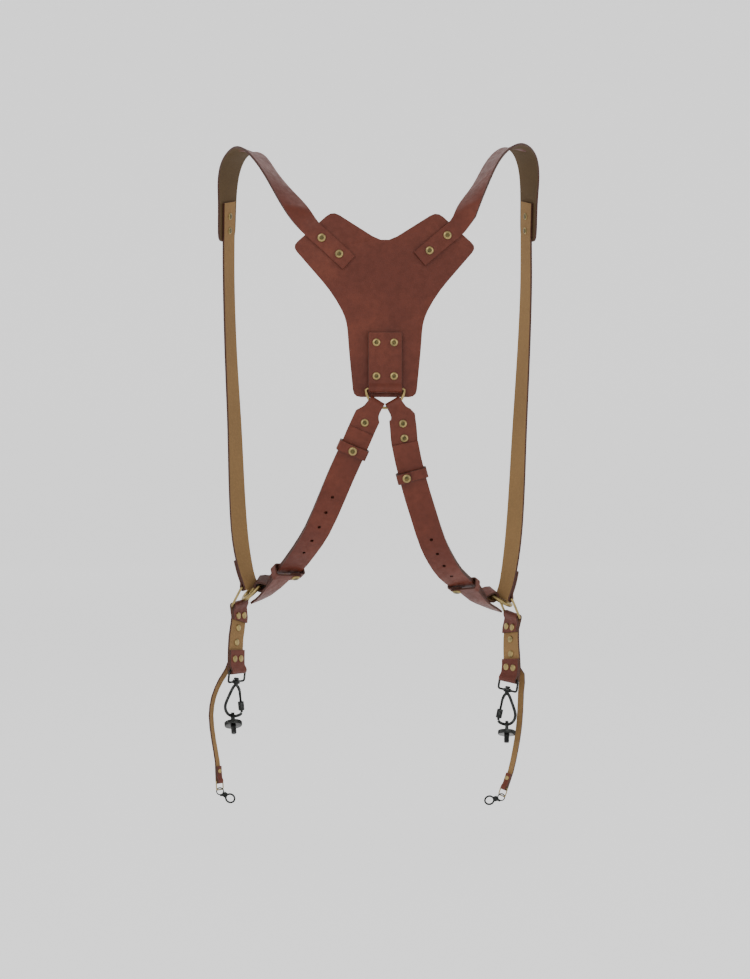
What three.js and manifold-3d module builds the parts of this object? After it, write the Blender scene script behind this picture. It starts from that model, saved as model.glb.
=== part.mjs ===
// Dual camera harness in leather, as worn, with a swivel snap hook and a camera screw at each hip.
// Millimetres, +X to the wearer's right, +Y forward, +Z up. The origin is where the harness sits on
// the shoulders, midway between the tops of the two shoulder straps.

import * as THREE from 'three';
import { mergeVertices } from 'three/addons/utils/BufferGeometryUtils.js';
import { TessellateModifier } from 'three/addons/modifiers/TessellateModifier.js';
import Module from 'manifold-3d';

const wasm = await Module();
wasm.setup();

// Fit on the wearer
const shoulderHalf = 150;      // middle line to the top of a shoulder strap
const chestHalf = 175;         // middle line to a front strap at the chest
const backDepth = 108;         // shoulder tops back to the yoke
const chestDepth = 84;         // shoulder tops forward to the front straps
const shoulderDrop = 105;      // shoulder tops down to the ends of the shoulder straps
const hipDrop = 512;           // shoulder tops down to the hips
const hipHalf = 148;           // middle line to the hips

// Leather
const leather = 2.5;
const clearance = 0.3;
const layer = leather + clearance;
const foldEase = 0.45;         // between a bar and the leather folded round it

// Back yoke
const yokeWidth = 204;
const yokeHeight = 205;
const yokeDrop = 92;           // shoulder tops down to the top corners of the yoke
const yokeBend = 6;            // how far the arm corners curve forward
const yokeFlat = 24;           // middle line to the start of that curve
const yokeFacet = 44;

// Tab on the yoke that holds the centre ring
const yokeTabWidth = 37.4;
const yokeTabLength = 67;
const yokeTabRise = 4.3;        // end of the yoke up to the fold of the tab
const yokeTabRivets = 19.4;
const yokeTabUpper = 11.5;
const yokeTabLower = 48.5;

// Shoulder straps
const shoulderWidth = 38.5;
const shoulderTabWidth = 19.5;
const shoulderTabTip = 27;     // middle of the pair of yoke rivets down to the end of the tab
const shoulderTabSpan = 31;    // middle of that pair up to the edge of the yoke
const shoulderRivets = 26;
const shoulderClip = 6;

// Front straps
const frontWidth = 25;
const frontOverlap = 47;       // length riveted to the inside of the shoulder strap
const frontUpper = 30;         // end of the shoulder strap up to the rivets
const frontLower = 13;
const frontTail = 30;          // end of the strap folded up outside the hip loop

// Back straps
const backWidth = 29.2;
const backNeck = 17.5;
const backNeckLength = 9;
const backUpperFold = 42;      // folded end behind the strap at the centre ring
const backLowerFold = 47;      // folded end behind the strap at the hip ring
const holeSize = 4;
const holePitch = 20.5;

// Keepers
const keeperWidth = 11.5;
const keeperLeather = 1.8;
const keeperLap = 7;

// Rings of round wire
const centerRingWidth = 46;
const centerRingWire = 3;
const hipRingSize = 35.6;
const hipRingWire = 4.6;
const hipLoopWidth = 32.4;
const hipLoopHeight = 29.6;
const hipLoopWire = 2.8;

// Drop tabs
const dropWidth = 25.4;
const dropUpperTail = 20;
const dropLowerTail = 23.5;
const dropPair = 13.5;         // bar to the rivet pair of each fold
const dropPairGap = 11;
const dropMiddleUpper = 28;
const dropMiddleLower = 45;

// Rivets
const rivetCap = 8.8;
const rivetBack = 7.6;
const rivetPost = 3;
const rivetRise = 1.6;
const rivetSides = 6;

// Swivel eyes and snap hooks
const eyeWire = 2.6;
const eyeWidth = 31.8;
const eyeDrop = 13.2;
const bossSize = 9;
const bossHeight = 4.2;
const stemSize = 3.4;
const stemHead = 6.2;
const hookWire = 3.5;
const gateWire = 3.1;
const hookLength = 37;
const hookHalf = 10.4;
const sleeveSize = 7;
const sleeveLength = 10.4;
const sleeveGrooves = 8;

// Camera screws
const discSize = 20.6;
const discHeight = 5;
const discNotches = 11;
const studSize = 6.35;
const studLength = 9.5;
const pinDrop = 4.5;           // wire of the hook down to the pivot of the screw
const pinSize = 1.6;
const lugSize = 4.2;
const lugRise = 2.6;
const loopStrip = 1.4;
const loopWidth = 4.2;

// Tethers and clasps
const tetherWidth = 7;
const tetherLeather = 2;
const tetherTail = 17;
const linkWidth = 9.8;
const linkHeight = 11.5;
const linkWire = 1.4;
const eyeletSize = 9.4;
const claspBody = 5;
const claspRingLength = 10.5;
const claspRingWidth = 9.5;
const claspWire = 2.2;
const leverLength = 6;
const leverHub = 4.4;
const leverPin = 1.5;

const brass = { color: 0x9a8452, roughness: 0.4, metalness: 1 };
const gunmetal = { color: 0x4b4c4a, roughness: 0.35, metalness: 1 };
const grain = { color: 0x6e3223, roughness: 0.55, metalness: 0 };

const turned = THREE.MathUtils.degToRad;
const mix = THREE.MathUtils.lerp;
const point = (x, y, z) => new THREE.Vector3(x, y, z);
const scaled = (vector, length) => vector.clone().multiplyScalar(length);
const plus = (start, ...moves) => moves.reduce((sum, move) => sum.add(move), start.clone());
const square = (vector, axis) => vector.clone().addScaledVector(axis, -vector.dot(axis)).normalize();

// Closed solids

function tidied(geometry) {
  const plain = new THREE.BufferGeometry();
  plain.setAttribute('position', geometry.getAttribute('position').clone());
  if (geometry.index) {
    plain.setIndex(geometry.index.clone());
  }
  const merged = mergeVertices(plain, 1e-4);
  const places = merged.getAttribute('position');
  const corners = [];
  for (let i = 0; i < merged.index.count; i += 3) {
    const [a, b, c] = [0, 1, 2].map((step) => merged.index.getX(i + step));
    if (a !== b && b !== c && c !== a) {
      corners.push(a, b, c);
    }
  }
  const [p, q, r] = [point(0, 0, 0), point(0, 0, 0), point(0, 0, 0)];
  let volume = 0;
  for (let i = 0; i < corners.length; i += 3) {
    p.fromBufferAttribute(places, corners[i]);
    q.fromBufferAttribute(places, corners[i + 1]);
    r.fromBufferAttribute(places, corners[i + 2]);
    volume += p.dot(q.cross(r));
  }
  if (volume < 0) {
    corners.reverse();
  }
  merged.setIndex(corners);
  return merged;
}

function solidOf(geometry) {
  const closed = tidied(geometry);
  return new wasm.Manifold(new wasm.Mesh({
    numProp: 3,
    vertProperties: closed.getAttribute('position').array,
    triVerts: new Uint32Array(closed.index.array),
  }));
}

function geometryOf(solid) {
  const mesh = solid.getMesh();
  const geometry = new THREE.BufferGeometry();
  geometry.setAttribute('position', new THREE.BufferAttribute(new Float32Array(mesh.vertProperties), 3));
  geometry.setIndex(new THREE.BufferAttribute(new Uint32Array(mesh.triVerts), 1));
  return geometry;
}

function joined(...geometries) {
  return geometryOf(geometries.map(solidOf).reduce((sum, solid) => sum.add(solid)));
}

function cut(geometry, ...tools) {
  return geometryOf(tools.map(solidOf).reduce((left, tool) => left.subtract(tool), solidOf(geometry)));
}

function mirrored(geometry) {
  const copy = geometry.clone();
  copy.applyMatrix4(new THREE.Matrix4().makeScale(-1, 1, 1));
  return copy;
}

// Moves a geometry made round the Y axis so that Y runs along one direction and Z near another.
function stood(geometry, foot, along, facing) {
  const up = along.clone().normalize();
  const front = square(facing, up);
  const matrix = new THREE.Matrix4().makeBasis(up.clone().cross(front), up, front).setPosition(foot);
  return geometry.clone().applyMatrix4(matrix);
}

function rod(start, end, size, sides) {
  const along = end.clone().sub(start);
  const facing = Math.abs(along.x) < Math.abs(along.y) ? point(1, 0, 0) : point(0, 1, 0.1);
  const cylinder = new THREE.CylinderGeometry(size / 2, size / 2, along.length(), sides);
  return stood(cylinder, plus(start, scaled(along, 0.5)), along, facing);
}

// Joins rings of points, each with the same number of sides, into one closed body
function lofted(rings, isClosed) {
  const sides = rings[0].length;
  const places = rings.flat().flatMap((place) => [place.x, place.y, place.z]);
  const corners = [];
  const spans = isClosed ? rings.length : rings.length - 1;
  for (let i = 0; i < spans; i += 1) {
    const near = i * sides;
    const far = ((i + 1) % rings.length) * sides;
    for (let k = 0; k < sides; k += 1) {
      const next = (k + 1) % sides;
      corners.push(near + k, near + next, far + next, near + k, far + next, far + k);
    }
  }
  const last = (rings.length - 1) * sides;
  for (let k = 1; !isClosed && k < sides - 1; k += 1) {
    corners.push(0, k + 1, k, last, last + k, last + k + 1);
  }
  const geometry = new THREE.BufferGeometry();
  geometry.setAttribute('position', new THREE.Float32BufferAttribute(places, 3));
  geometry.setIndex(corners);
  return tidied(geometry);
}

// Wire along points that lie in one plane
function wire(points, size, sides, normal, isClosed) {
  const count = points.length;
  const rings = points.map((place, i) => {
    const before = points[isClosed ? (i + count - 1) % count : Math.max(i - 1, 0)];
    const after = points[isClosed ? (i + 1) % count : Math.min(i + 1, count - 1)];
    const inward = place.clone().sub(before).normalize();
    const onward = after.clone().sub(place).normalize();
    const side = inward.add(onward).normalize().cross(normal);
    return Array.from({ length: sides }, (_, k) => {
      const angle = 2 * Math.PI * (k + 0.5) / sides;
      return plus(place, scaled(normal, Math.cos(angle) * size / 2), scaled(side, Math.sin(angle) * size / 2));
    });
  });
  return lofted(rings, isClosed);
}

// An outline whose corners are softened, each by its own length
function softened(corners, steps) {
  const flat = corners.map((corner) => new THREE.Vector2(corner.x, corner.y));
  return corners.flatMap((corner, i) => {
    const here = flat[i];
    const back = flat[(i + corners.length - 1) % corners.length].clone().sub(here).normalize();
    const on = flat[(i + 1) % corners.length].clone().sub(here).normalize();
    const start = here.clone().addScaledVector(back, corner.soft);
    const end = here.clone().addScaledVector(on, corner.soft);
    return new THREE.QuadraticBezierCurve(start, here, end).getPoints(steps);
  });
}

// A closed rectangle of wire, centred, in the plane of two directions
function wireBox(centre, right, up, wide, high, soft, size, sides) {
  const corners = [[1, 1], [-1, 1], [-1, -1], [1, -1]].map(([x, y]) => ({ x: x * wide / 2, y: y * high / 2, soft }));
  const points = softened(corners, 2).map((place) => plus(centre, scaled(right, place.x), scaled(up, place.y)));
  return wire(points, size, sides, right.clone().cross(up).normalize(), true);
}

// Straps
// A station has a place, a direction across and a width. The grain faces along times across.

function across(turn, rise, sense) {
  const level = Math.cos(turned(rise));
  const out = -sense * Math.cos(turned(turn)) * level;
  return point(out, sense * Math.sin(turned(turn)) * level, Math.sin(turned(rise)));
}

function framed(stations) {
  const last = stations.length - 1;
  let length = 0;
  return stations.map((station, i) => {
    const onward = stations[Math.min(i + 1, last)].p.clone().sub(station.p).normalize();
    const inward = station.p.clone().sub(stations[Math.max(i - 1, 0)].p);
    length += inward.length();
    const t = inward.normalize().add(onward).normalize();
    const w = square(station.w, t);
    return { p: station.p.clone(), t, w, n: t.clone().cross(w), wide: station.wide, s: length };
  });
}

function lengthOf(frames) {
  return frames[frames.length - 1].s;
}

function frameAt(frames, s) {
  const found = frames.findIndex((frame) => frame.s >= s);
  const upper = found < 0 ? frames.length - 1 : Math.max(1, found);
  const [low, high] = [frames[upper - 1], frames[upper]];
  const share = (s - low.s) / (high.s - low.s);
  const t = low.t.clone().lerp(high.t, share).normalize();
  const w = square(low.w.clone().lerp(high.w, share), t);
  const wide = mix(low.wide, high.wide, share);
  return { p: low.p.clone().lerp(high.p, share), t, w, n: t.clone().cross(w), wide, s };
}

function stationOn(frames, s, lift, wide) {
  const frame = frameAt(frames, s);
  return { p: plus(frame.p, scaled(frame.n, lift)), w: frame.w, wide: wide ?? frame.wide };
}

// Stations of a second layer over or under a strap, at the strap's own stations
function along(frames, from, to, lift, wide) {
  const inside = frames.map((frame) => frame.s).filter((s) => s > from + 0.8 && s < to - 0.8);
  return [from, ...inside, to].map((s) => stationOn(frames, s, lift, wide));
}

// A smooth path through the rows, straight in its first and last span to meet a bar squarely
function between(rows, steps) {
  const path = new THREE.CatmullRomCurve3(rows.map((row) => row.p), false, 'centripetal');
  const twist = new THREE.CatmullRomCurve3(rows.map((row) => row.w), false, 'catmullrom');
  const total = (rows.length - 1) * steps;
  return Array.from({ length: total + 1 }, (_, i) => {
    const row = Math.min(Math.floor(i / steps), rows.length - 2);
    const wide = mix(rows[row].wide, rows[row + 1].wide, i / steps - row);
    if (row === 0 || row === rows.length - 2) {
      const share = i / steps - row;
      const p = rows[row].p.clone().lerp(rows[row + 1].p, share);
      return { p, w: rows[row].w.clone().lerp(rows[row + 1].w, share).normalize(), wide };
    }
    return { p: path.getPoint(i / total), w: twist.getPoint(i / total).normalize(), wide };
  });
}

function swept(stations, thickness) {
  return lofted(framed(stations).map((frame) => [[1, 1], [-1, 1], [-1, -1], [1, -1]].map(([side, face]) => plus(
    frame.p,
    scaled(frame.w, side * frame.wide / 2),
    scaled(frame.n, face * thickness / 2),
  ))), false);
}

// Where the strap must end to turn round a bar
function barEnd(bar, t, w, radius, side) {
  return plus(bar, scaled(t.clone().cross(w), -side * radius));
}

// The strap turns round a bar at its end and comes back along itself. A side of 1 turns to the grain
// side, and the layers close up to the given spacing.
function turnedBack(stations, side, radius, tail, spacing) {
  const frames = framed(stations);
  const end = frames[frames.length - 1];
  const length = lengthOf(frames);
  const centre = plus(end.p, scaled(end.n, side * radius));
  const bends = 5;
  const added = [];
  for (let i = 1; i <= bends; i += 1) {
    const angle = Math.PI * i / bends;
    const out = scaled(end.n, -side * Math.cos(angle) * radius);
    added.push({ p: plus(centre, out, scaled(end.t, Math.sin(angle) * radius)), w: end.w, wide: end.wide });
  }
  const pinch = 2.1 * radius;
  const stops = [0.35, 0.7, 1].map((share) => share * pinch);
  const rest = frames.map((frame) => length - frame.s).filter((back) => back > pinch + 2 && back < tail - 2);
  [...stops, ...rest.reverse(), tail].forEach((back) => {
    const share = THREE.MathUtils.smoothstep(back, 0, pinch);
    added.push(stationOn(frames, length - back, side * mix(2 * radius, spacing, share)));
  });
  return [...stations, ...added];
}

// Ends a strap with its corners clipped
function clipped(stations, clip) {
  const frames = framed(stations);
  const total = lengthOf(frames);
  const { wide } = frames[frames.length - 1];
  const kept = stations.filter((_, i) => frames[i].s < total - clip - 1);
  return [...kept, stationOn(frames, total - clip, 0), stationOn(frames, total, 0, wide - 2 * clip)];
}

function reversed(stations) {
  return stations.slice().reverse();
}

// Rivets and holes

function rivet(frame, grip, gap = clearance, hasBack = true) {
  const face = grip / 2 + gap;
  const [post, cap, back] = [rivetPost / 2, rivetCap / 2, rivetBack / 2];
  const outer = [[post, face], [cap, face], [cap, face + rivetRise * 0.4], [cap * 0.6, face + rivetRise * 0.9]];
  const dome = [[0, -face - 1], [back, -face - 0.5], [back, -face], [post, -face]];
  const flush = [[0, -grip / 2], [post, -grip / 2]];
  const rows = [...(hasBack ? dome : flush), ...outer, [0, face + rivetRise]];
  const profile = rows.map(([x, y]) => new THREE.Vector2(x, y));
  return stood(new THREE.LatheGeometry(profile, rivetSides), frame.p, frame.n, frame.w);
}

function drilled(frame, size = rivetPost + 2 * clearance, depth = 14, sides = 6) {
  return stood(new THREE.CylinderGeometry(size / 2, size / 2, depth, sides), frame.p, frame.n, frame.w);
}

function spot(frames, s, lift = 0, shift = 0) {
  const frame = frameAt(frames, s);
  return { ...frame, p: plus(frame.p, scaled(frame.n, lift), scaled(frame.w, shift)) };
}

// Parts by name

const harness = new THREE.Group();

function add(name, geometry, look) {
  const mesh = new THREE.Mesh(tidied(geometry), new THREE.MeshStandardMaterial(look));
  mesh.name = name;
  harness.add(mesh);
}

// Back yoke

function onYoke(x, z, lift) {
  const reach = yokeWidth / 2 - yokeFlat;
  const past = Math.max(0, Math.abs(x) - yokeFlat) / reach;
  const outward = point(2 * Math.sign(x) * yokeBend * past / reach, -1, 0).normalize();
  return { p: plus(point(x, -backDepth + yokeBend * past ** 2, z), scaled(outward, lift)), n: outward };
}

// A frame on the yoke whose along runs up the yoke, turned by an angle from level
function yokeFrame(x, z, lift, angle) {
  const place = onYoke(x, z, lift);
  const t = square(point(Math.cos(turned(angle)), 0, Math.sin(turned(angle))), place.n);
  return { p: place.p, t, n: place.n, w: place.n.clone().cross(t) };
}

// Corners of half the yoke as shares of half its width and of its height, and how far each is softened
const yokeCorners = [
  { out: 0.565, down: 0, soft: 9 },
  { out: 1, down: 0.19, soft: 8 },
  { out: 0.55, down: 0.45, soft: 20 },
  { out: 0.412, down: 0.585, soft: 12 },
  { out: 0.386, down: 0.76, soft: 10 },
  { out: 0.338, down: 1, soft: 8 },
];
const yokeNotch = { out: 0, down: 0.178, soft: 16 };

const yokeEnd = -yokeDrop - yokeHeight;
const yokeTabRadius = centerRingWire / 2 + foldEase + leather / 2;
const ringBarHeight = yokeEnd + yokeTabRise + yokeTabRadius + leather / 2;
const ringBar = onYoke(0, ringBarHeight, layer + yokeTabRadius).p;
const yokeTabTop = ringBarHeight - yokeTabRadius - leather / 2 + yokeTabLength;

const yokeTabSpots = [
  { x: -1, down: yokeTabUpper },
  { x: 1, down: yokeTabUpper },
  { x: -1, down: yokeTabLower },
  { x: 1, down: yokeTabLower },
].map((row) => yokeFrame(row.x * yokeTabRivets / 2, yokeTabTop - row.down, layer, 90));

function makeYokeTab() {
  const rear = [0, 0.2, 0.4, 0.6, 0.8, 1].map((share) => {
    const frame = yokeFrame(0, mix(yokeTabTop - 3, ringBarHeight, share), layer, 90);
    return { p: frame.p, w: scaled(frame.w, -1), wide: yokeTabWidth };
  });
  const stations = turnedBack(rear, 1, yokeTabRadius, yokeTabTop - ringBarHeight, layer);
  return cut(swept(stations, leather), ...yokeTabSpots.map((frame) => drilled(frame)));
}

function makeYoke(shoulderSpots) {
  const corner = (row, side) => ({ x: side * row.out * yokeWidth / 2, y: -row.down * yokeHeight, soft: row.soft });
  const right = yokeCorners.map((row) => corner(row, 1));
  const left = yokeCorners.map((row) => corner(row, -1)).reverse();
  const outline = softened([corner(yokeNotch, 1), ...right, ...left], 3);
  const flat = new THREE.ExtrudeGeometry(new THREE.Shape(outline), { depth: leather, bevelEnabled: false });
  const fine = new TessellateModifier(yokeFacet, 12).modify(flat);
  const places = fine.getAttribute('position');
  for (let i = 0; i < places.count; i += 1) {
    const bent = onYoke(places.getX(i), places.getY(i) - yokeDrop, places.getZ(i) - leather / 2);
    places.setXYZ(i, bent.p.x, bent.p.y, bent.p.z);
  }
  return cut(fine, ...[...yokeTabSpots, ...shoulderSpots].map((frame) => drilled(frame)));
}

// Centre ring: a D whose round side hangs down

const centerRingRadius = (centerRingWidth - centerRingWire) / 2;

function onCenterRing(angle, radius) {
  return plus(ringBar, point(radius * Math.sin(angle), 0, 0.7 - radius * Math.cos(angle)));
}

function makeCenterRing() {
  const steps = 16;
  const points = [];
  for (let i = 0; i <= steps; i += 1) {
    points.push(onCenterRing(mix(-1, 1, i / steps) * 1.52, centerRingRadius));
  }
  points.push(plus(ringBar, point(centerRingRadius - 1.5, 0, 0)), plus(ringBar, point(1.5 - centerRingRadius, 0, 0)));
  return wire(points, centerRingWire, 6, point(0, 1, 0), true);
}

// Sides
// Each side is made as the wearer's right one, and the left one is mirrored. In the tables out is a
// share of the shoulder, chest or hip half width, fore a share of the chest depth or, where negative,
// of the back depth, and drop a share of the shoulder or hip drop. Turn and rise aim the direction
// across in degrees, and wide is a share of the strap's width.

const leftSide = {
  tab: { out: 0.397, down: 0.19, angle: 43 },
  shoulder: [
    { out: 0.68, fore: -0.905, drop: 0.79, turn: 32, rise: 8, wide: 0.76 },
    { out: 0.79, fore: -0.694, drop: 0.533, turn: 48, rise: -8, wide: 0.86 },
    { out: 0.89, fore: -0.389, drop: 0.295, turn: 50, rise: -14, wide: 0.96 },
    { out: 0.996, fore: 0, drop: 0.093, turn: 42, rise: -8, wide: 1 },
    { out: 1.107, fore: 0.381, drop: 0.123, turn: 42, rise: 14, wide: 1 },
    { out: 1.16, fore: 0.69, drop: 0.3, turn: 52, rise: 16, wide: 1 },
    { out: 1.173, fore: 0.857, drop: 0.543, turn: 60, rise: 8, wide: 1 },
    { out: 1.18, fore: 1, drop: 1, turn: 62, rise: 2, wide: 1 },
  ],
  front: [
    { out: 0.997, fore: 1.02, drop: 0.3, turn: 62, rise: 1 },
    { out: 0.983, fore: 1, drop: 0.463, turn: 60, rise: 1 },
    { out: 0.954, fore: 0.77, drop: 0.645, turn: 54, rise: 2 },
    { out: 0.926, fore: 0.41, drop: 0.869, turn: 46, rise: 4 },
  ],
  loop: { out: 1.053, fore: 0.24, drop: 1.017, turn: 54, rise: 8, lean: 36 },
  ring: { inward: 10.8, back: -0.5, rise: 6, slope: 43, tilt: 7.5, reach: 30 },
  neck: 32,
  back: [
    { out: 0.176, fore: -1.105, drop: 0.65, turn: 0, rise: 25, wide: 1 },
    { out: 0.236, fore: -1.08, drop: 0.689, turn: 4, rise: 25, wide: 1 },
    { out: 0.331, fore: -0.991, drop: 0.75, turn: 10, rise: 25, wide: 1 },
    { out: 0.392, fore: -0.907, drop: 0.793, turn: 17, rise: 25, wide: 1 },
    { out: 0.5, fore: -0.7, drop: 0.865, turn: 30, rise: 24, wide: 1 },
    { out: 0.595, fore: -0.51, drop: 0.91, turn: 38, rise: 20, wide: 1 },
    { out: 0.716, fore: -0.25, drop: 0.957, turn: 46, rise: 12, wide: 1 },
  ],
  backRivets: [24],
  tailStart: 33,
  upperKeeper: { at: 56, shift: 0, lap: 1, ease: 0.9 },
  lowerKeeper: { shift: -8, lap: 1, ease: 2.2 },
  firstHole: 114,
  holes: 5,
  tip: [
    { out: 0.845, fore: -0.01, drop: 0.999, turn: 56, wide: 0.98 },
    { out: 0.909, fore: 0.12, drop: 1.017, turn: 66, wide: 0.85 },
    { out: 0.966, fore: 0.262, drop: 1.028, turn: 74, wide: 0.62 },
  ],
  tipLift: 2,
  eye: { out: 1.105, fore: 0.24, drop: 1.187, turn: 52, rise: 0, lean: 9 },
  dropMiddle: { out: 1.099, fore: 0.26, drop: 1.113 },
  hookTurn: 10,
  hookLean: 4,
  discLean: 27,
  tether: [
    { out: 1.182, fore: 0.33, drop: 1.186, turn: 40 },
    { out: 1.236, fore: 0.33, drop: 1.211, turn: 44 },
    { out: 1.29, fore: 0.33, drop: 1.248, turn: 50 },
    { out: 1.311, fore: 0.33, drop: 1.29, turn: 54 },
    { out: 1.291, fore: 0.33, drop: 1.345, turn: 56 },
    { out: 1.262, fore: 0.33, drop: 1.395, turn: 52 },
    { out: 1.254, fore: 0.33, drop: 1.438, turn: 40 },
  ],
  claspSlope: 35,
};

const rightSide = {
  tab: { out: 0.39, down: 0.171, angle: 41 },
  shoulder: [
    { out: 0.645, fore: -0.905, drop: 0.745, turn: 46, rise: 4, wide: 0.74 },
    { out: 0.745, fore: -0.648, drop: 0.495, turn: 64, rise: -8, wide: 0.86 },
    { out: 0.857, fore: -0.324, drop: 0.229, turn: 62, rise: -12, wide: 0.96 },
    { out: 0.995, fore: 0, drop: 0.04, turn: 50, rise: -8, wide: 1 },
    { out: 1.13, fore: 0.381, drop: 0.035, turn: 50, rise: 14, wide: 1 },
    { out: 1.2, fore: 0.69, drop: 0.225, turn: 60, rise: 16, wide: 1 },
    { out: 1.212, fore: 0.857, drop: 0.524, turn: 68, rise: 8, wide: 1 },
    { out: 1.216, fore: 1, drop: 0.98, turn: 70, rise: 2, wide: 1 },
  ],
  front: [
    { out: 1.03, fore: 1.02, drop: 0.3, turn: 68, rise: 1 },
    { out: 1.011, fore: 1, drop: 0.461, turn: 64, rise: 1 },
    { out: 0.965, fore: 0.75, drop: 0.66, turn: 58, rise: 2 },
    { out: 0.915, fore: 0.41, drop: 0.869, turn: 52, rise: 4 },
  ],
  loop: { out: 1.024, fore: 0.24, drop: 1.044, turn: 60, rise: 10, lean: 32 },
  ring: { inward: 10.9, back: -2, rise: 9, slope: 29, tilt: 7.5, reach: 30 },
  neck: 30,
  back: [
    { out: 0.142, fore: -1.105, drop: 0.678, turn: 0, rise: 18, wide: 1 },
    { out: 0.206, fore: -1.06, drop: 0.756, turn: 6, rise: 20, wide: 1 },
    { out: 0.29, fore: -0.93, drop: 0.83, turn: 14, rise: 26, wide: 1 },
    { out: 0.37, fore: -0.78, drop: 0.893, turn: 22, rise: 28, wide: 1 },
    { out: 0.437, fore: -0.65, drop: 0.928, turn: 30, rise: 25, wide: 1 },
    { out: 0.523, fore: -0.48, drop: 0.961, turn: 38, rise: 19, wide: 1 },
    { out: 0.64, fore: -0.25, drop: 0.988, turn: 46, rise: 12, wide: 1 },
  ],
  backRivets: [23.5, 39.5],
  tailStart: 45,
  upperKeeper: { at: 81, shift: -6.4, lap: -1, ease: 0.9 },
  lowerKeeper: { shift: -8, lap: 1, ease: 1.6 },
  firstHole: 160,
  holes: 4,
  tip: [
    { out: 0.79, fore: -0.019, drop: 1.023, turn: 56, wide: 0.98 },
    { out: 0.872, fore: 0.107, drop: 1.036, turn: 66, wide: 0.85 },
    { out: 0.939, fore: 0.238, drop: 1.046, turn: 74, wide: 0.62 },
  ],
  tipLift: 4,
  eye: { out: 1.027, fore: 0.24, drop: 1.209, turn: 50, rise: 6, lean: -8 },
  dropMiddle: { out: 1.032, fore: 0.26, drop: 1.137 },
  hookTurn: 10,
  hookLean: -2,
  discLean: 20,
  tether: [
    { out: 1.135, fore: 0.33, drop: 1.2, turn: 36 },
    { out: 1.128, fore: 0.33, drop: 1.24, turn: 34 },
    { out: 1.122, fore: 0.33, drop: 1.285, turn: 34 },
    { out: 1.108, fore: 0.33, drop: 1.33, turn: 34 },
    { out: 1.082, fore: 0.33, drop: 1.375, turn: 36 },
    { out: 1.048, fore: 0.33, drop: 1.42, turn: 40 },
    { out: 1.005, fore: 0.33, drop: 1.458, turn: 42 },
  ],
  claspSlope: 14,
};

function placed(row, half, drop) {
  return point(row.out * half, row.fore * (row.fore < 0 ? backDepth : chestDepth), -row.drop * drop);
}

function rowsOf(table, half, drop, sense, wide) {
  return table.map((row) => ({
    p: placed(row, half, drop),
    w: across(row.turn, row.rise ?? 0, sense),
    wide: wide * (row.wide ?? 1),
  }));
}

// Shoulder strap: riveted tab on the yoke, then the wide band over the shoulder

function shoulderPath(side) {
  const { tab } = side;
  const middle = point(tab.out * shoulderHalf, 0, -yokeDrop - tab.down * yokeHeight);
  const onTab = (distance) => {
    const x = middle.x + Math.cos(turned(tab.angle)) * distance;
    return yokeFrame(x, middle.z + Math.sin(turned(tab.angle)) * distance, layer, tab.angle);
  };
  const tabRow = (distance, wide) => ({ p: onTab(distance).p, w: onTab(distance).w, wide });
  const curve = between([
    tabRow(0, shoulderTabWidth),
    tabRow(shoulderRivets / 2, shoulderTabWidth),
    tabRow(shoulderTabSpan, shoulderTabWidth * 1.06),
    ...rowsOf(side.shoulder, shoulderHalf, shoulderDrop, 1, shoulderWidth),
  ], 2);
  const lead = [-shoulderTabTip, -shoulderRivets / 2].map((s) => tabRow(s, shoulderTabWidth));
  const spots = [-shoulderRivets / 2, shoulderRivets / 2].map((s) => onTab(s));
  return { stations: [...lead, ...curve.slice(2)], spots };
}

// Front strap: riveted to the inside of the shoulder strap and looped round the hip loop's upper bar

function hipLoopOf(side) {
  const centre = placed(side.loop, hipHalf, hipDrop);
  const bar = across(side.loop.turn, side.loop.rise, 1);
  const plumb = square(point(0, 0, -1), bar);
  const lean = turned(side.loop.lean);
  const down = plus(scaled(plumb, Math.cos(lean)), scaled(plumb.clone().cross(bar), Math.sin(lean)));
  const reach = (hipLoopHeight - hipLoopWire) / 2;
  return { centre, bar, down, upper: plus(centre, scaled(down, -reach)), lower: plus(centre, scaled(down, reach)) };
}

function frontPath(side, shoulder, loop) {
  const frames = framed(shoulder);
  const total = lengthOf(frames);
  const top = along(frames, total - frontOverlap, total - 1, -layer, frontWidth);
  const radius = hipLoopWire / 2 + foldEase + leather / 2;
  const rows = rowsOf(side.front, chestHalf, hipDrop, 1, frontWidth);
  const t = square(loop.upper.clone().sub(rows[rows.length - 1].p), loop.bar);
  const end = barEnd(loop.upper, t, loop.bar, radius, 1);
  const curve = between([
    ...top.slice(-2),
    ...rows,
    { p: plus(end, scaled(t, -16)), w: loop.bar, wide: frontWidth },
    { p: end, w: loop.bar, wide: frontWidth - 1 },
  ], 2);
  const stations = turnedBack([...top.slice(0, -1), ...curve.slice(2)], 1, radius, frontTail, layer);
  return { stations, frames, total };
}

// Hip ring: its plane holds the slope direction and a direction near +Y

function hipRingOf(side, loop) {
  const { ring } = side;
  const slope = point(Math.cos(turned(ring.slope)), 0, -Math.sin(turned(ring.slope)));
  const upright = point(Math.sin(turned(ring.slope)), 0, Math.cos(turned(ring.slope)));
  const normal = plus(scaled(upright, Math.cos(turned(ring.tilt))), point(0, -Math.sin(turned(ring.tilt)), 0));
  const ahead = normal.clone().cross(slope).normalize();
  const centre = plus(loop.centre, point(-ring.inward, -ring.back, ring.rise));
  const reach = turned(ring.reach);
  const towards = plus(scaled(slope, -Math.cos(reach)), scaled(ahead, -Math.sin(reach)));
  const bar = plus(scaled(slope, Math.sin(reach)), scaled(ahead, -Math.cos(reach)));
  return { centre, normal, towards, bar };
}

const hipRingRadius = (hipRingSize - hipRingWire) / 2;

function makeHipRing(ring) {
  const torus = new THREE.TorusGeometry(hipRingRadius, hipRingWire / 2, 6, 20);
  torus.rotateX(Math.PI / 2);
  return stood(torus, ring.centre, ring.normal, ring.towards);
}

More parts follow.
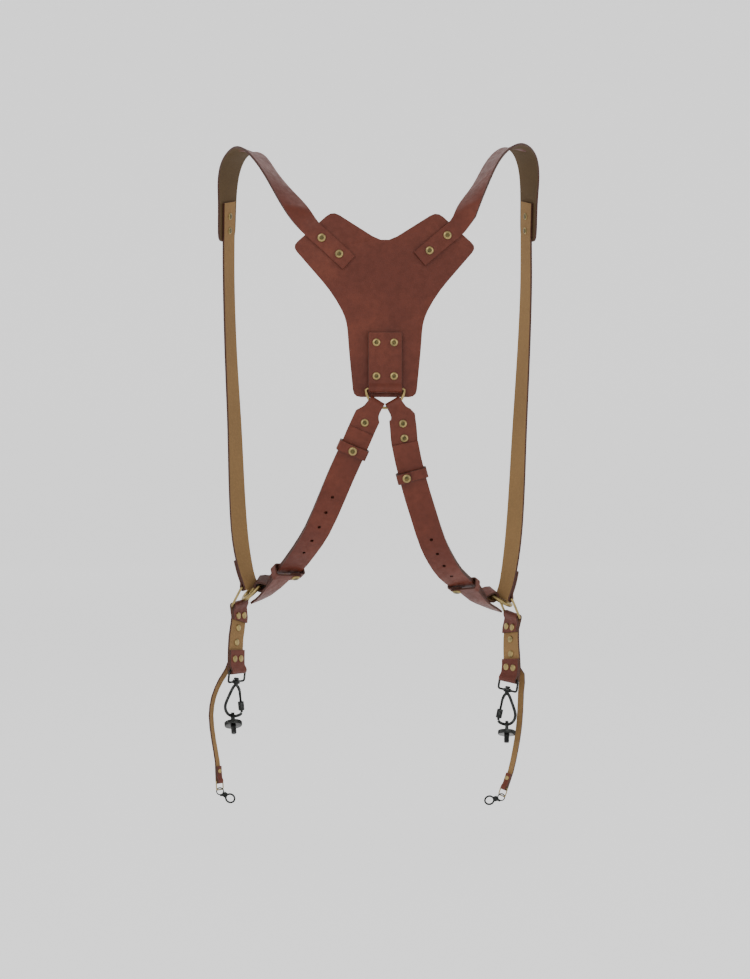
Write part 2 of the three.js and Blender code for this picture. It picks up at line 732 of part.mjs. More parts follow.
// A neck of leather round a curved wire needs a wider fold, because the wire bows inside it.
function neckFold(wireSize, ringRadius) {
  const bow = backNeck ** 2 / (8 * ringRadius);
  return { radius: wireSize / 2 + 2.8 * foldEase + leather / 2 + bow / 2, inset: bow / 2 };
}

// Back strap: necked folds on the centre ring and on the hip ring

function backPath(side, ring) {
  const angle = turned(side.neck);
  const upper = neckFold(centerRingWire, centerRingRadius);
  const t0 = point(Math.sin(angle), 0, -Math.cos(angle));
  const w0 = point(Math.cos(angle), 0, Math.sin(angle));
  const start = plus(onCenterRing(angle, centerRingRadius - upper.inset), point(0, -upper.radius, 0));
  const lower = neckFold(hipRingWire, hipRingRadius);
  const t1 = scaled(ring.towards, -1);
  const bar = plus(ring.centre, scaled(ring.towards, hipRingRadius - lower.inset));
  const end = barEnd(bar, t1, ring.bar, lower.radius, -1);
  const curve = between([
    { p: start, w: w0, wide: backNeck },
    { p: plus(start, scaled(t0, backNeckLength)), w: w0, wide: backNeck + 2 },
    { p: plus(start, scaled(t0, backNeckLength + 7)), w: w0, wide: backWidth },
    ...rowsOf(side.back, hipHalf, hipDrop, -1, backWidth),
    { p: plus(end, scaled(t1, -15)), w: ring.bar, wide: backWidth },
    { p: plus(end, scaled(t1, -8)), w: ring.bar, wide: backNeck + 2 },
    { p: end, w: ring.bar, wide: backNeck },
  ], 2);
  const upperEnd = reversed(turnedBack(reversed(curve), 1, upper.radius, backUpperFold, layer));
  return { stations: turnedBack(upperEnd, -1, lower.radius, backLowerFold, layer), frames: framed(curve) };
}

// The lower keeper sits at the last table row of the back strap.
function keeperPlace(frames, side) {
  const row = placed(side.back[side.back.length - 1], hipHalf, hipDrop);
  return frames.reduce((best, frame) => (frame.p.distanceTo(row) < best.p.distanceTo(row) ? frame : best)).s;
}

function tailPath(side, frames, keeper) {
  const on = along(frames, side.tailStart, keeper + 12, layer, backWidth);
  const { n } = frames[frames.length - 1];
  const rows = rowsOf(side.tip, hipHalf, hipDrop, -1, backWidth);
  const raised = rows.map((row) => ({ ...row, p: plus(row.p, scaled(n, side.tipLift)) }));
  const curve = between([...on.slice(-2), ...raised], 2);
  return [...on.slice(0, -1), ...curve.slice(2)];
}

// Keeper: a band round both layers. Its outer end overlaps the inner one and is riveted to it, and lap
// tells from which edge the outer end comes.

function makeKeeper(frame, { shift, lap, ease }) {
  const half = keeperLeather / 2;
  const low = -leather / 2 - ease - half;
  const high = leather / 2 + layer + ease + half;
  const over = high + keeperLeather + clearance;
  const edge = backWidth / 2 + ease + half;
  const soft = edge - 1.8;
  const middle = lap * shift;
  const path = [
    [middle + keeperLap, high],
    [-soft, high],
    [0.4 - edge, high - 0.6],
    [-edge, high - 1.8],
    [-edge, low + 1.8],
    [0.5 - edge, low + 0.5],
    [-soft, low],
    [soft, low],
    [edge - 0.5, low + 0.5],
    [edge, low + 1.8],
    [edge, over - 2.2],
    [edge - 0.5, over - 0.6],
    [soft, over],
    [middle - keeperLap * 0.7, over],
  ];
  const at = (x, y) => plus(frame.p, scaled(frame.w, lap * x), scaled(frame.n, y));
  const band = swept(path.map(([x, y]) => ({ p: at(x, y), w: frame.t, wide: keeperWidth })), keeperLeather);
  const place = { ...frame, p: at(middle, (high + over) / 2) };
  return { body: cut(band, drilled(place, rivetPost + 2 * clearance, 2 * keeperLeather + 1.4)), place };
}

// Drop tab: folded on the hip loop's lower bar and on the swivel eye's bar

function eyeOf(side) {
  const bar = placed(side.eye, hipHalf, hipDrop);
  const w = across(side.eye.turn, side.eye.rise, 1);
  const lean = turned(side.eye.lean);
  const down = square(point(Math.sin(lean), 0, -Math.cos(lean)), w);
  return { bar, w, down, low: plus(bar, scaled(down, eyeDrop)) };
}

function dropPath(side, loop, eye) {
  const upperRadius = hipLoopWire / 2 + foldEase + leather / 2;
  const lowerRadius = eyeWire / 2 + foldEase + leather / 2;
  const middle = placed(side.dropMiddle, hipHalf, hipDrop);
  const t0 = square(middle.clone().sub(loop.lower), loop.bar);
  const t1 = square(eye.bar.clone().sub(middle), eye.w);
  const start = barEnd(loop.lower, t0, loop.bar, upperRadius, -1);
  const end = barEnd(eye.bar, t1, eye.w, lowerRadius, -1);
  const half = plus(loop.bar, eye.w).normalize();
  const curve = between([
    { p: start, w: loop.bar, wide: dropWidth },
    { p: plus(start, scaled(t0, 15)), w: loop.bar, wide: dropWidth },
    { p: plus(middle, scaled(t0.clone().cross(half), upperRadius)), w: half, wide: dropWidth },
    { p: plus(end, scaled(t1, -15)), w: eye.w, wide: dropWidth },
    { p: end, w: eye.w, wide: dropWidth },
  ], 2);
  const upperEnd = reversed(turnedBack(reversed(curve), 1, upperRadius, dropUpperTail, layer));
  return { stations: turnedBack(upperEnd, -1, lowerRadius, dropLowerTail, layer), frames: framed(curve) };
}

const tetherLift = leather / 2 + clearance + tetherLeather / 2;
const tetherGrip = leather + clearance + tetherLeather;

function makeDropTab(path) {
  const { stations, frames } = path;
  const total = lengthOf(frames);
  const pairs = [dropPair, total - dropPair].flatMap((s) => [-1, 1].map((sense) => {
    return rivet(spot(frames, s, -layer / 2, sense * dropPairGap / 2), leather + layer, -0.25);
  }));
  const middles = [dropMiddleUpper, dropMiddleLower].map((s) => {
    const place = spot(frames, s, (clearance + tetherLeather) / 2);
    const inner = plus(place.p, scaled(place.n, -tetherGrip / 2 - 0.6));
    return joined(rivet(place, tetherGrip), rod(inner, plus(inner, scaled(place.n, 0.9)), rivetBack - 1, 6));
  });
  return joined(swept(stations, leather), ...pairs, ...middles);
}

// Tether: riveted to the drop tab, hanging free, with a folded end round the link

function tetherPath(side, dropFrames) {
  const top = along(dropFrames, dropMiddleUpper - 8, dropMiddleLower + 9, tetherLift, tetherWidth);
  const curve = between([...top.slice(-2), ...rowsOf(side.tether, hipHalf, hipDrop, 1, tetherWidth)], 2);
  const stations = [...top.slice(0, -1), ...curve.slice(2)];
  const frames = framed(stations);
  const radius = linkWire / 2 + foldEase + tetherLeather / 2;
  const end = frames[frames.length - 1];
  return {
    stations: turnedBack(stations, -1, radius, tetherTail, tetherLeather + clearance),
    frames,
    bar: plus(end.p, scaled(end.n, -radius)),
    end,
  };
}

function makeTether(path, dropFrames) {
  const holes = [dropMiddleUpper, dropMiddleLower].map((s) => {
    return drilled(spot(dropFrames, s, tetherLift), rivetPost + 2 * clearance, 5);
  });
  const place = spot(path.frames, lengthOf(path.frames) - 11.5, -(tetherLeather + clearance) / 2);
  const half = scaled(place.n, tetherLeather + clearance / 2 + 0.7);
  const pin = rod(plus(place.p, scaled(half, -1)), plus(place.p, half), 4.6, 6);
  return joined(cut(swept(path.stations, tetherLeather), ...holes), pin);
}

// Swivel eye: a wire stirrup with a boss that the stem of the hook turns in

function makeEye(eye) {
  const centre = plus(eye.bar, scaled(eye.down, eyeDrop / 2));
  const frame = wireBox(centre, eye.w, eye.down, eyeWidth - eyeWire, eyeDrop, 2.6, eyeWire, 6);
  const half = scaled(eye.down, bossHeight / 2);
  const boss = rod(plus(eye.low, scaled(half, -1)), plus(eye.low, half), bossSize, 10);
  const bore = rod(plus(eye.low, scaled(half, -2)), plus(eye.low, scaled(half, 2)), stemSize + 2 * clearance, 10);
  return cut(joined(frame, boss), bore);
}

// Snap hook as a flat outline from the hinge round to the nose: out and down are shares of half the
// hook's width and of its length, the gate side being negative.
const hookOutline = [
  { out: -0.46, down: 0.2 },
  { out: -0.26, down: 0.08 },
  { out: 0, down: 0.03 },
  { out: 0.26, down: 0.09 },
  { out: 0.6, down: 0.31 },
  { out: 0.93, down: 0.56 },
  { out: 1.02, down: 0.7 },
  { out: 0.92, down: 0.84 },
  { out: 0.6, down: 0.95 },
  { out: 0.12, down: 1 },
  { out: -0.38, down: 0.98 },
  { out: -0.7, down: 0.94 },
  { out: -0.87, down: 0.885 },
];
const hookLowest = { out: 0.12, down: 1 };
const gateTop = { out: -0.482, down: 0.224 };
const gateFoot = { out: -0.86, down: 0.835 };
const sleevePlace = 0.72;

function hookOf(side, eye) {
  const lean = turned(side.hookLean);
  const down = point(Math.sin(lean), 0, -Math.cos(lean));
  const apex = plus(eye.low, scaled(eye.down, bossHeight / 2 + 1));
  const out = square(point(Math.cos(turned(side.hookTurn)), -Math.sin(turned(side.hookTurn)), 0), down);
  const on = (row) => plus(apex, scaled(out, row.out * hookHalf), scaled(down, row.down * hookLength));
  return { apex, out, normal: out.clone().cross(down), on, axis: eye.down, low: eye.low };
}

function makeHook(hook) {
  const body = wire(hookOutline.map(hook.on), hookWire, 6, hook.normal, false);
  const head = plus(hook.low, scaled(hook.axis, -bossHeight / 2 - clearance));
  const stem = rod(plus(head, scaled(hook.axis, -1)), plus(hook.apex, scaled(hook.axis, 1.4)), stemSize, 10);
  return joined(body, stem, rod(head, plus(head, scaled(hook.axis, -2.2)), stemHead, 10));
}

function makeGate(hook) {
  return rod(hook.on(gateTop), hook.on(gateFoot), gateWire, 10);
}

// The outline of a round solid with grooves or notches along it
function notched(size, depth, count, height) {
  const outline = Array.from({ length: count * 2 }, (_, i) => {
    const angle = Math.PI * i / count;
    const radius = size / 2 - (i % 2) * depth;
    return new THREE.Vector2(Math.cos(angle) * radius, Math.sin(angle) * radius);
  });
  const solid = new THREE.ExtrudeGeometry(new THREE.Shape(outline), { depth: height, bevelEnabled: false });
  return solid.rotateX(-Math.PI / 2);
}

function makeSleeve(hook) {
  const [top, foot] = [hook.on(gateTop), hook.on(gateFoot)];
  const run = foot.clone().sub(top).normalize();
  const start = plus(top.clone().lerp(foot, sleevePlace), scaled(run, -sleeveLength / 2));
  const bore = rod(plus(start, scaled(run, -1)), plus(start, scaled(run, sleeveLength + 1)), gateWire + 2 * clearance, 10);
  return cut(stood(notched(sleeveSize, 0.4, sleeveGrooves, sleeveLength), start, run, hook.normal), bore);
}

// Camera screw: knurled disc, stud below and a lug above that turns on the loop's pin

function screwOf(side, hook) {
  const lean = turned(side.discLean);
  const axis = square(hook.out, point(0, 0, 1));
  const near = square(point(0, -1, 0), axis);
  const down = plus(point(0, 0, -Math.cos(lean)), scaled(near, Math.sin(lean)));
  return { axis, down, pin: plus(hook.on(hookLowest), scaled(down, pinDrop)), pinAxis: axis.clone().cross(down) };
}

function makeCameraScrew(screw) {
  const { pin, down, axis, pinAxis } = screw;
  const top = plus(pin, scaled(down, lugRise));
  const disc = stood(notched(discSize, 0.6, discNotches, discHeight), top, down, axis);
  const foot = plus(top, scaled(down, discHeight));
  const stud = rod(plus(foot, scaled(down, -0.5)), plus(foot, scaled(down, studLength)), studSize, 10);
  const half = scaled(pinAxis, lugSize / 2);
  const round = rod(plus(pin, scaled(half, -1)), plus(pin, half), lugSize, 8);
  const block = new THREE.BoxGeometry(lugSize, lugRise + 0.5, lugSize);
  const post = stood(block, plus(pin, scaled(down, (lugRise + 0.5) / 2)), down, pinAxis);
  const bore = rod(plus(pin, scaled(half, -2)), plus(pin, scaled(half, 2)), pinSize + 2 * clearance, 8);
  return cut(joined(disc, stud, round, post), bore);
}

function makeScrewLoop(screw) {
  const { pin, down, axis, pinAxis } = screw;
  const half = lugSize / 2 + clearance + loopStrip / 2;
  const crown = pinDrop + hookWire / 2 + 4 * clearance + loopStrip / 2;
  const outline = [
    [-1, 0], [-1, crown - 2.6], [-0.72, crown - 0.8], [-0.26, crown],
    [0.26, crown], [0.72, crown - 0.8], [1, crown - 2.6], [1, 0],
  ];
  const stations = outline.map(([x, y]) => ({
    p: plus(pin, scaled(pinAxis, x * half), scaled(down, -y)),
    w: axis,
    wide: loopWidth - 0.6,
  }));
  const ends = [-1, 1].map((sense) => rod(
    plus(pin, scaled(pinAxis, sense * (half - loopStrip / 2))),
    plus(pin, scaled(pinAxis, sense * (half + loopStrip / 2))),
    loopWidth,
    8,
  ));
  const bar = rod(plus(pin, scaled(pinAxis, -half)), plus(pin, scaled(pinAxis, half)), pinSize, 8);
  return joined(swept(stations, loopStrip), ...ends, bar);
}

// Link and clasp at the tether's end

function linkOf(path) {
  const { end, bar } = path;
  const high = linkHeight - linkWire;
  return { ...end, centre: plus(bar, scaled(end.t, high / 2)), low: plus(bar, scaled(end.t, high)) };
}

function makeLink(link) {
  return wireBox(link.centre, link.w, link.t, linkWidth, linkHeight - linkWire, 1.6, linkWire, 6);
}

function claspOf(side, link) {
  const slope = turned(side.claspSlope);
  const q = point(-Math.cos(slope), 0, -Math.sin(slope));
  const n = point(0, 1, 0);
  const hang = square(link.t, n);
  const inside = eyeletSize / 2 - 2 * linkWire;
  return { q, n, v: q.clone().cross(n), centre: plus(link.low, scaled(hang, inside)) };
}

function makeClasp(clasp) {
  const { q, n, v, centre } = clasp;
  const eyelet = new THREE.TorusGeometry((eyeletSize - linkWire) / 2, linkWire / 2, 6, 12);
  eyelet.rotateX(Math.PI / 2);
  const middle = plus(centre, scaled(q, eyeletSize / 2 + claspBody / 2));
  const reach = claspBody + eyeletSize / 2 + claspRingLength / 2 - 0.6;
  const oval = Array.from({ length: 12 }, (_, i) => {
    const angle = 2 * Math.PI * i / 12;
    const x = reach + Math.cos(angle) * claspRingLength / 2;
    return plus(centre, scaled(q, x), scaled(v, Math.sin(angle) * claspRingWidth / 2));
  });
  return joined(
    stood(eyelet, centre, n, q),
    stood(new THREE.BoxGeometry(claspBody, claspBody + 1, 3.4), middle, q, n),
    wire(oval, claspWire, 6, n, true),
    rod(plus(middle, scaled(n, -1)), plus(middle, scaled(n, -3.6)), leverPin, 8),
  );
}

function makeLever(clasp) {
  const { q, n, v, centre } = clasp;
  const pivot = plus(centre, scaled(q, eyeletSize / 2 + claspBody / 2), scaled(n, -1.7 - clearance));
  const thick = 1.3;
  const hub = rod(pivot, plus(pivot, scaled(n, -thick)), leverHub, 8);
  const reach = plus(scaled(v, 0.57), scaled(q, -0.82)).normalize();
  const middle = plus(pivot, scaled(n, -thick / 2), scaled(reach, leverLength / 2));
  const arm = stood(new THREE.BoxGeometry(2.6, leverLength, thick), middle, reach, n);
  const bore = rod(plus(pivot, scaled(n, 1)), plus(pivot, scaled(n, -3)), leverPin + 2 * clearance, 8);
  return cut(joined(hub, arm), bore);
}

// Every part of one side

function makeLeather(side, name, put) {
  const shoulder = shoulderPath(side);
  const loop = hipLoopOf(side);
  const front = frontPath(side, shoulder.stations, loop);
  const frontSpots = [frontUpper, frontLower].map((s) => spot(front.frames, front.total - s, -layer / 2));
  const frontHoles = frontSpots.map((frame) => drilled(frame));
  const shoulderHoles = shoulder.spots.map((frame) => drilled(frame));
  const shoulderStrap = swept(clipped(shoulder.stations, shoulderClip), leather);
  put(`shoulder_strap_${name}`, cut(shoulderStrap, ...shoulderHoles, ...frontHoles), grain);
  put(`front_strap_${name}`, cut(swept(front.stations, leather), ...frontHoles), grain);
  put(`hip_loop_${name}`, wireBox(
    loop.centre,
    loop.bar,
    loop.down,
    hipLoopWidth - hipLoopWire,
    hipLoopHeight - hipLoopWire,
    2.4,
    hipLoopWire,
    8,
  ), brass);
  shoulder.spots.forEach((frame, i) => {
    const middle = { ...frame, p: plus(frame.p, scaled(frame.n, -layer / 2)) };
    put(`rivet_shoulder_${name}_${i + 1}`, rivet(middle, leather + layer, 0.5), brass);
  });
  frontSpots.forEach((frame, i) => put(`rivet_front_${name}_${i + 1}`, rivet(frame, leather + layer), brass));
  return { loop, spots: shoulder.spots };
}

function makeBackStrap(side, name, put, ring) {
  const { stations, frames } = backPath(side, ring);
  const keeper = keeperPlace(frames, side);
  const spots = side.backRivets.map((s) => spot(frames, s, -layer / 2));
  const holes = Array.from({ length: side.holes }, (_, i) => {
    return drilled(spot(frames, side.firstHole + i * holePitch, layer), holeSize, 2 * layer - 1, 8);
  });
  put(`back_strap_${name}`, cut(swept(stations, leather), ...spots.map((frame) => drilled(frame))), grain);
  put(`strap_tail_${name}`, cut(swept(tailPath(side, frames, keeper), leather), ...holes), grain);
  spots.forEach((frame, i) => put(`rivet_back_${name}_${i + 1}`, rivet(frame, leather + layer), brass));
  const bands = {
    upper_keeper: makeKeeper(frameAt(frames, side.upperKeeper.at), side.upperKeeper),
    lower_keeper: makeKeeper(frameAt(frames, keeper), side.lowerKeeper),
  };
  Object.entries(bands).forEach(([kind, band]) => {
    put(`${kind}_${name}`, band.body, grain);
    put(`rivet_${kind}_${name}`, rivet(band.place, 2 * keeperLeather + clearance, clearance, false), brass);
  });
}

function makeHardware(side, name, put, loop) {
  const eye = eyeOf(side);
  const drop = dropPath(side, loop, eye);
  const tether = tetherPath(side, drop.frames);
  const hook = hookOf(side, eye);
  const screw = screwOf(side, hook);
  const link = linkOf(tether);
  const clasp = claspOf(side, link);
  put(`drop_tab_${name}`, makeDropTab(drop), grain);
  put(`swivel_eye_${name}`, makeEye(eye), gunmetal);
  put(`carabiner_${name}`, makeHook(hook), gunmetal);
  put(`gate_${name}`, makeGate(hook), gunmetal);
  put(`lock_sleeve_${name}`, makeSleeve(hook), gunmetal);
  put(`camera_screw_${name}`, makeCameraScrew(screw), gunmetal);
  put(`screw_loop_${name}`, makeScrewLoop(screw), gunmetal);
  put(`tether_${name}`, makeTether(tether, drop.frames), grain);
  put(`tether_link_${name}`, makeLink(link), brass);
  put(`clasp_${name}`, makeClasp(clasp), gunmetal);
  put(`clasp_lever_${name}`, makeLever(clasp), gunmetal);
}

function makeSide(side, name, put) {
  const { loop, spots } = makeLeather(side, name, put);
  const ring = hipRingOf(side, loop);
  put(`hip_ring_${name}`, makeHipRing(ring), brass);
  makeBackStrap(side, name, put, ring);
  makeHardware(side, name, put, loop);
  return spots;
}

function mirroredFrame(frame) {
  const flip = (vector) => point(-vector.x, vector.y, vector.z);
  return { p: flip(frame.p), n: flip(frame.n), w: flip(frame.w) };
}

const leftSpots = makeSide(leftSide, 'l', (name, geometry, look) => add(name, mirrored(geometry), look));
const rightSpots = makeSide(rightSide, 'r', add);
add('back_yoke', makeYoke([...leftSpots.map(mirroredFrame), ...rightSpots]), grain);
add('yoke_tab', makeYokeTab(), grain);
add('center_ring', makeCenterRing(), brass);
yokeTabSpots.forEach((frame, i) => add(`rivet_yoke_tab_${i + 1}`, rivet(frame, 2 * layer + leather), brass));

export default harness;
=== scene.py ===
"""Looks of a leather dual camera harness, hung as worn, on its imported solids."""

import math

import bmesh
import bpy
import numpy as np
from bpy.props import FloatProperty, FloatVectorProperty, IntProperty, PointerProperty
from mathutils import Matrix, Vector


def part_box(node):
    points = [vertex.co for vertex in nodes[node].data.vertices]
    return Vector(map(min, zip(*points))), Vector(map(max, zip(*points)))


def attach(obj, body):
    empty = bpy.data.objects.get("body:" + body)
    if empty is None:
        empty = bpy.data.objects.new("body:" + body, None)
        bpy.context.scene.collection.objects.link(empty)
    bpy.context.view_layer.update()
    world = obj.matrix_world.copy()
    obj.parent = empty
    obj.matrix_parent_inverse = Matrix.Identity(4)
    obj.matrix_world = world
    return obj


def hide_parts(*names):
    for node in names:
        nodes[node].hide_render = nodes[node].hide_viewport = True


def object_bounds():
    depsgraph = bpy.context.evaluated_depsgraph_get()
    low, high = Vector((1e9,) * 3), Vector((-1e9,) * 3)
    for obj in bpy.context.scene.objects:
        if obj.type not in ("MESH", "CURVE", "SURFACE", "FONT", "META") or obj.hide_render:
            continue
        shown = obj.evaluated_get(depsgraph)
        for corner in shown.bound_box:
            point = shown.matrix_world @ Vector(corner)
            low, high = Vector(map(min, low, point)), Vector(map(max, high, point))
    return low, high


bl_info = {
    "name": "Dual camera harness",
    "version": (1, 0, 0),
    "blender": (4, 5, 0),
    "location": "View3D > Sidebar > Harness",
    "description": "Leather, brass and gunmetal pieces of a camera harness as worn",
    "category": "Add Mesh",
}

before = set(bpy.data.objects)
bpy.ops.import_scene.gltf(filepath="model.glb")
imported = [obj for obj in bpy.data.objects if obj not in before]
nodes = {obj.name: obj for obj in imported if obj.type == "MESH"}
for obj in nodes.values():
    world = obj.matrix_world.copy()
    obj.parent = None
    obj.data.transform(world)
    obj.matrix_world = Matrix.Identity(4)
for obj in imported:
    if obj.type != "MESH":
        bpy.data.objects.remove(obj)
cad_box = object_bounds()

MM = 0.001
BODY = Vector((0, -0.01, -0.2))  # the grain side of a strap faces away from here

# Places of the small metal pieces at each hip, in millimetres
HIPS = {
    "l": {
        "loop": [[-155.844, 20.16, -520.704], [0.582, 0.801, 0.139], [-0.409, 0.437, -0.801]],
        "ring": [[-145.044, 20.66, -514.704], [-0.676, -0.131, 0.725]],
        "eye": [[-163.54, 20.16, -607.744], [0.616, 0.788, 0], [-0.098, 0.076, -0.992], [-164.828, 21.166, -620.842]],
        "hook": [[-165.131, 21.403, -623.919], [-0.982, -0.174, 0.069], [-0.174, 0.985, 0.012]],
        "gate": [[-160.785, 22.275, -632.531], [-158.5, 22.96, -655.353]],
        "screw": [[-168.581, 19.174, -664.752], [0.079, -0.447, -0.891], [-0.985, -0.174, 0], [-0.155, 0.877, -0.454]],
        "link": [[-183.94, 26.074, -741.224], [0.764, 0.643, 0.041], [0.054, 0, -0.999]],
        "clasp": [[-183.566, 26.074, -748.164], [0.819, 0, -0.574], [0, 1, 0]],
        "studs": [
            [[-164.451, 23.812, -544.802], [-0.805, 0.592, -0.038]],
            [[-157.935, 32.673, -544.915], [-0.805, 0.592, -0.038]],
            [[-168.281, 16.886, -594.154], [-0.788, 0.616, -0.009]],
            [[-161.508, 25.551, -594.364], [-0.788, 0.616, -0.009]],
            [[-164.492, 27.119, -559.059], [-0.801, 0.598, -0.038]],
            [[-166.334, 23.859, -575.565], [-0.795, 0.607, -0.02]],
        ],
        "pin": [[-185.379, 26.926, -724.726], [-0.722, 0.691, -0.04]],
    },
    "r": {
        "loop": [[151.552, 20.16, -534.528], [-0.492, 0.853, 0.174], [0.385, 0.392, -0.835]],
        "ring": [[140.652, 22.16, -525.528], [0.481, -0.131, 0.867]],
        "eye": [[151.996, 20.16, -619.008], [-0.639, 0.762, 0.105], [-0.148, 0.011, -0.989], [150.036, 20.306, -632.061]],
        "hook": [[149.576, 20.341, -635.126], [0.984, -0.174, -0.034], [0.174, 0.985, -0.006]],
        "gate": [[144.353, 21.212, -643.237], [139.695, 21.895, -665.695]],
        "screw": [[149.245, 18.608, -676.375], [-0.059, -0.337, -0.94], [0.985, -0.174, 0], [0.163, 0.925, -0.342]],
        "link": [[145.765, 26.159, -750.836], [-0.69, 0.688, 0.226], [-0.311, 0, -0.95]],
        "clasp": [[143.604, 26.159, -757.442], [-0.97, 0, -0.242], [0, 1, 0]],
        "studs": [
            [[158.126, 22.62, -559.423], [0.843, 0.517, -0.149]],
            [[152.464, 32.03, -558.794], [0.843, 0.517, -0.149]],
            [[158.131, 16.303, -605.863], [0.763, 0.645, -0.04]],
            [[151.041, 24.705, -605.485], [0.763, 0.645, -0.04]],
            [[156.302, 26.329, -573.672], [0.821, 0.554, -0.14]],
            [[156.382, 23.3, -590.278], [0.792, 0.607, -0.061]],
        ],
        "pin": [[151.579, 26.869, -735.329], [0.64, 0.74, -0.206]],
    },
}

# The snap hook as shares of half its width and of its length, from the hinge round to the nose
HOOK_LINE = [
    (-0.46, 0.2), (-0.26, 0.08), (0, 0.03), (0.26, 0.09), (0.6, 0.31), (0.93, 0.56), (1.02, 0.7),
    (0.92, 0.84), (0.6, 0.95), (0.12, 1), (-0.38, 0.98), (-0.7, 0.94), (-0.87, 0.885),
]


class LeatherLook(bpy.types.PropertyGroup):
    grain: FloatVectorProperty(
        name="Grain", description="Colour of the smooth outer side", subtype="COLOR", default=(0.082, 0.0125, 0.004), min=0, max=1
    )
    # Lit grain: a lit copy of the grain colour, painted light that the grain shader spreads over random patches
    grain_lit: FloatVectorProperty(
        name="Lit grain", description="Lit colour of the grain, painted over random patches", subtype="COLOR", default=(0.125, 0.024, 0.009), min=0, max=1
    )
    flesh: FloatVectorProperty(
        name="Flesh side", description="Colour of the rough inner side", subtype="COLOR", default=(0.21, 0.12, 0.045), min=0, max=1
    )
    edge: FloatVectorProperty(
        name="Cut edge", description="Colour of the burnished edges", subtype="COLOR", default=(0.03, 0.008, 0.004), min=0, max=1
    )
    round: FloatProperty(
        name="Edge rounding", description="How far the edges of the leather are rounded", unit="LENGTH", default=0.0005, min=0.0001, max=0.001
    )


class MetalLook(bpy.types.PropertyGroup):
    brass: FloatVectorProperty(
        name="Brass", description="Colour of the antique brass", subtype="COLOR", default=(0.34, 0.25, 0.1), min=0, max=1
    )
    gunmetal: FloatVectorProperty(
        name="Gunmetal", description="Colour of the dark plating", subtype="COLOR", default=(0.022, 0.023, 0.022), min=0, max=1
    )
    dome: FloatProperty(
        name="Rivet dome", description="Height of the rivet heads", unit="LENGTH", default=0.0017, min=0.0008, max=0.003
    )
    notches: IntProperty(
        name="Knurl notches", description="Notches round each camera screw", default=36, min=12, max=60
    )


class StageLook(bpy.types.PropertyGroup):
    floor: FloatVectorProperty(
        name="Floor", description="Colour of the floor and backdrop", subtype="COLOR", default=(0.5, 0.5, 0.5), min=0, max=1
    )
    glow: FloatProperty(name="Floor glow", description="How strongly the floor and backdrop shine", default=0.75, min=0, max=4)
    strength: FloatProperty(name="Key light", description="Power of the main light in watts", default=22, min=0, max=400)


# Shader expressions


class Value:
    """A socket that takes part in sums."""

    def __init__(self, look, socket):
        self.look, self.socket = look, socket

    def work(self, kind, *values):
        return self.look.node("ShaderNodeMath", {"operation": kind}, *values)

    def __add__(self, other):
        return self.work("ADD", self, other)

    def __sub__(self, other):
        return self.work("SUBTRACT", self, other)

    def __rsub__(self, other):
        return self.work("SUBTRACT", other, self)

    def __mul__(self, other):
        return self.work("MULTIPLY", self, other)

    def __pow__(self, other):
        return self.work("POWER", self, other)

    __radd__ = __add__
    __rmul__ = __mul__


class Look:
    """One material and its nodes."""

    def __init__(self, name, rough, metal=0.0):
        self.material = bpy.data.materials.new(name)
        self.material.use_nodes = True
        self.tree = self.material.node_tree
        self.shader = self.tree.nodes["Principled BSDF"]
        self.shader.inputs["Roughness"].default_value = rough
        self.shader.inputs["Metallic"].default_value = metal
        self.shader.inputs["Specular IOR Level"].default_value = 0.3
        self.place = self.node("ShaderNodeTexCoord", {}, out="Object")

    def put(self, socket, value):
        if isinstance(value, Value):
            self.tree.links.new(value.socket, socket)
        else:
            socket.default_value = value

    def node(self, kind, settings, *values, out=0, **named):
        made = self.tree.nodes.new(kind)
        for key, setting in settings.items():
            if key == "stops":
                made.color_ramp.elements[0].position, made.color_ramp.elements[0].color = setting[0]
                made.color_ramp.elements[1].position, made.color_ramp.elements[1].color = setting[-1]
                for position, colour in setting[1:-1]:
                    made.color_ramp.elements.new(position).color = colour
            else:
                setattr(made, key, setting)
        for i, value in enumerate(values):
            self.put(made.inputs[i], value)
        for key, value in named.items():
            self.put(made.inputs[key.replace("_", " ")], value)
        return Value(self, made.outputs[out])

    def noise(self, scale, detail=3.0, rough=0.55, place=None):
        return self.node("ShaderNodeTexNoise", {}, Vector=place or self.place, Scale=scale, Detail=detail, Roughness=rough)

    def cells(self, scale, feature="F1"):
        return self.node("ShaderNodeTexVoronoi", {"feature": feature}, Vector=self.place, Scale=scale)

    def step(self, value, low, high):
        return self.node("ShaderNodeMapRange", {"interpolation_type": "SMOOTHSTEP"}, value, low, high)

    def blend(self, share, first, second):
        made = self.tree.nodes.new("ShaderNodeMix")
        made.data_type = "RGBA"
        self.put(made.inputs[0], share)
        self.put(made.inputs[6], first if isinstance(first, Value) else (*first, 1))
        self.put(made.inputs[7], second if isinstance(second, Value) else (*second, 1))
        return Value(self, made.outputs[2])

    def finish(self, colour, rough=None, height=None, depth=0.0002, strength=1.0):
        self.put(self.shader.inputs["Base Color"], colour)
        if rough is not None:
            self.put(self.shader.inputs["Roughness"], rough)
        if height is not None:
            bump = self.node("ShaderNodeBump", {}, Height=height, Distance=depth, Strength=strength)
            self.put(self.shader.inputs["Normal"], bump)
        return self.material


def shade(colour, share):
    return tuple(c * share for c in colour)


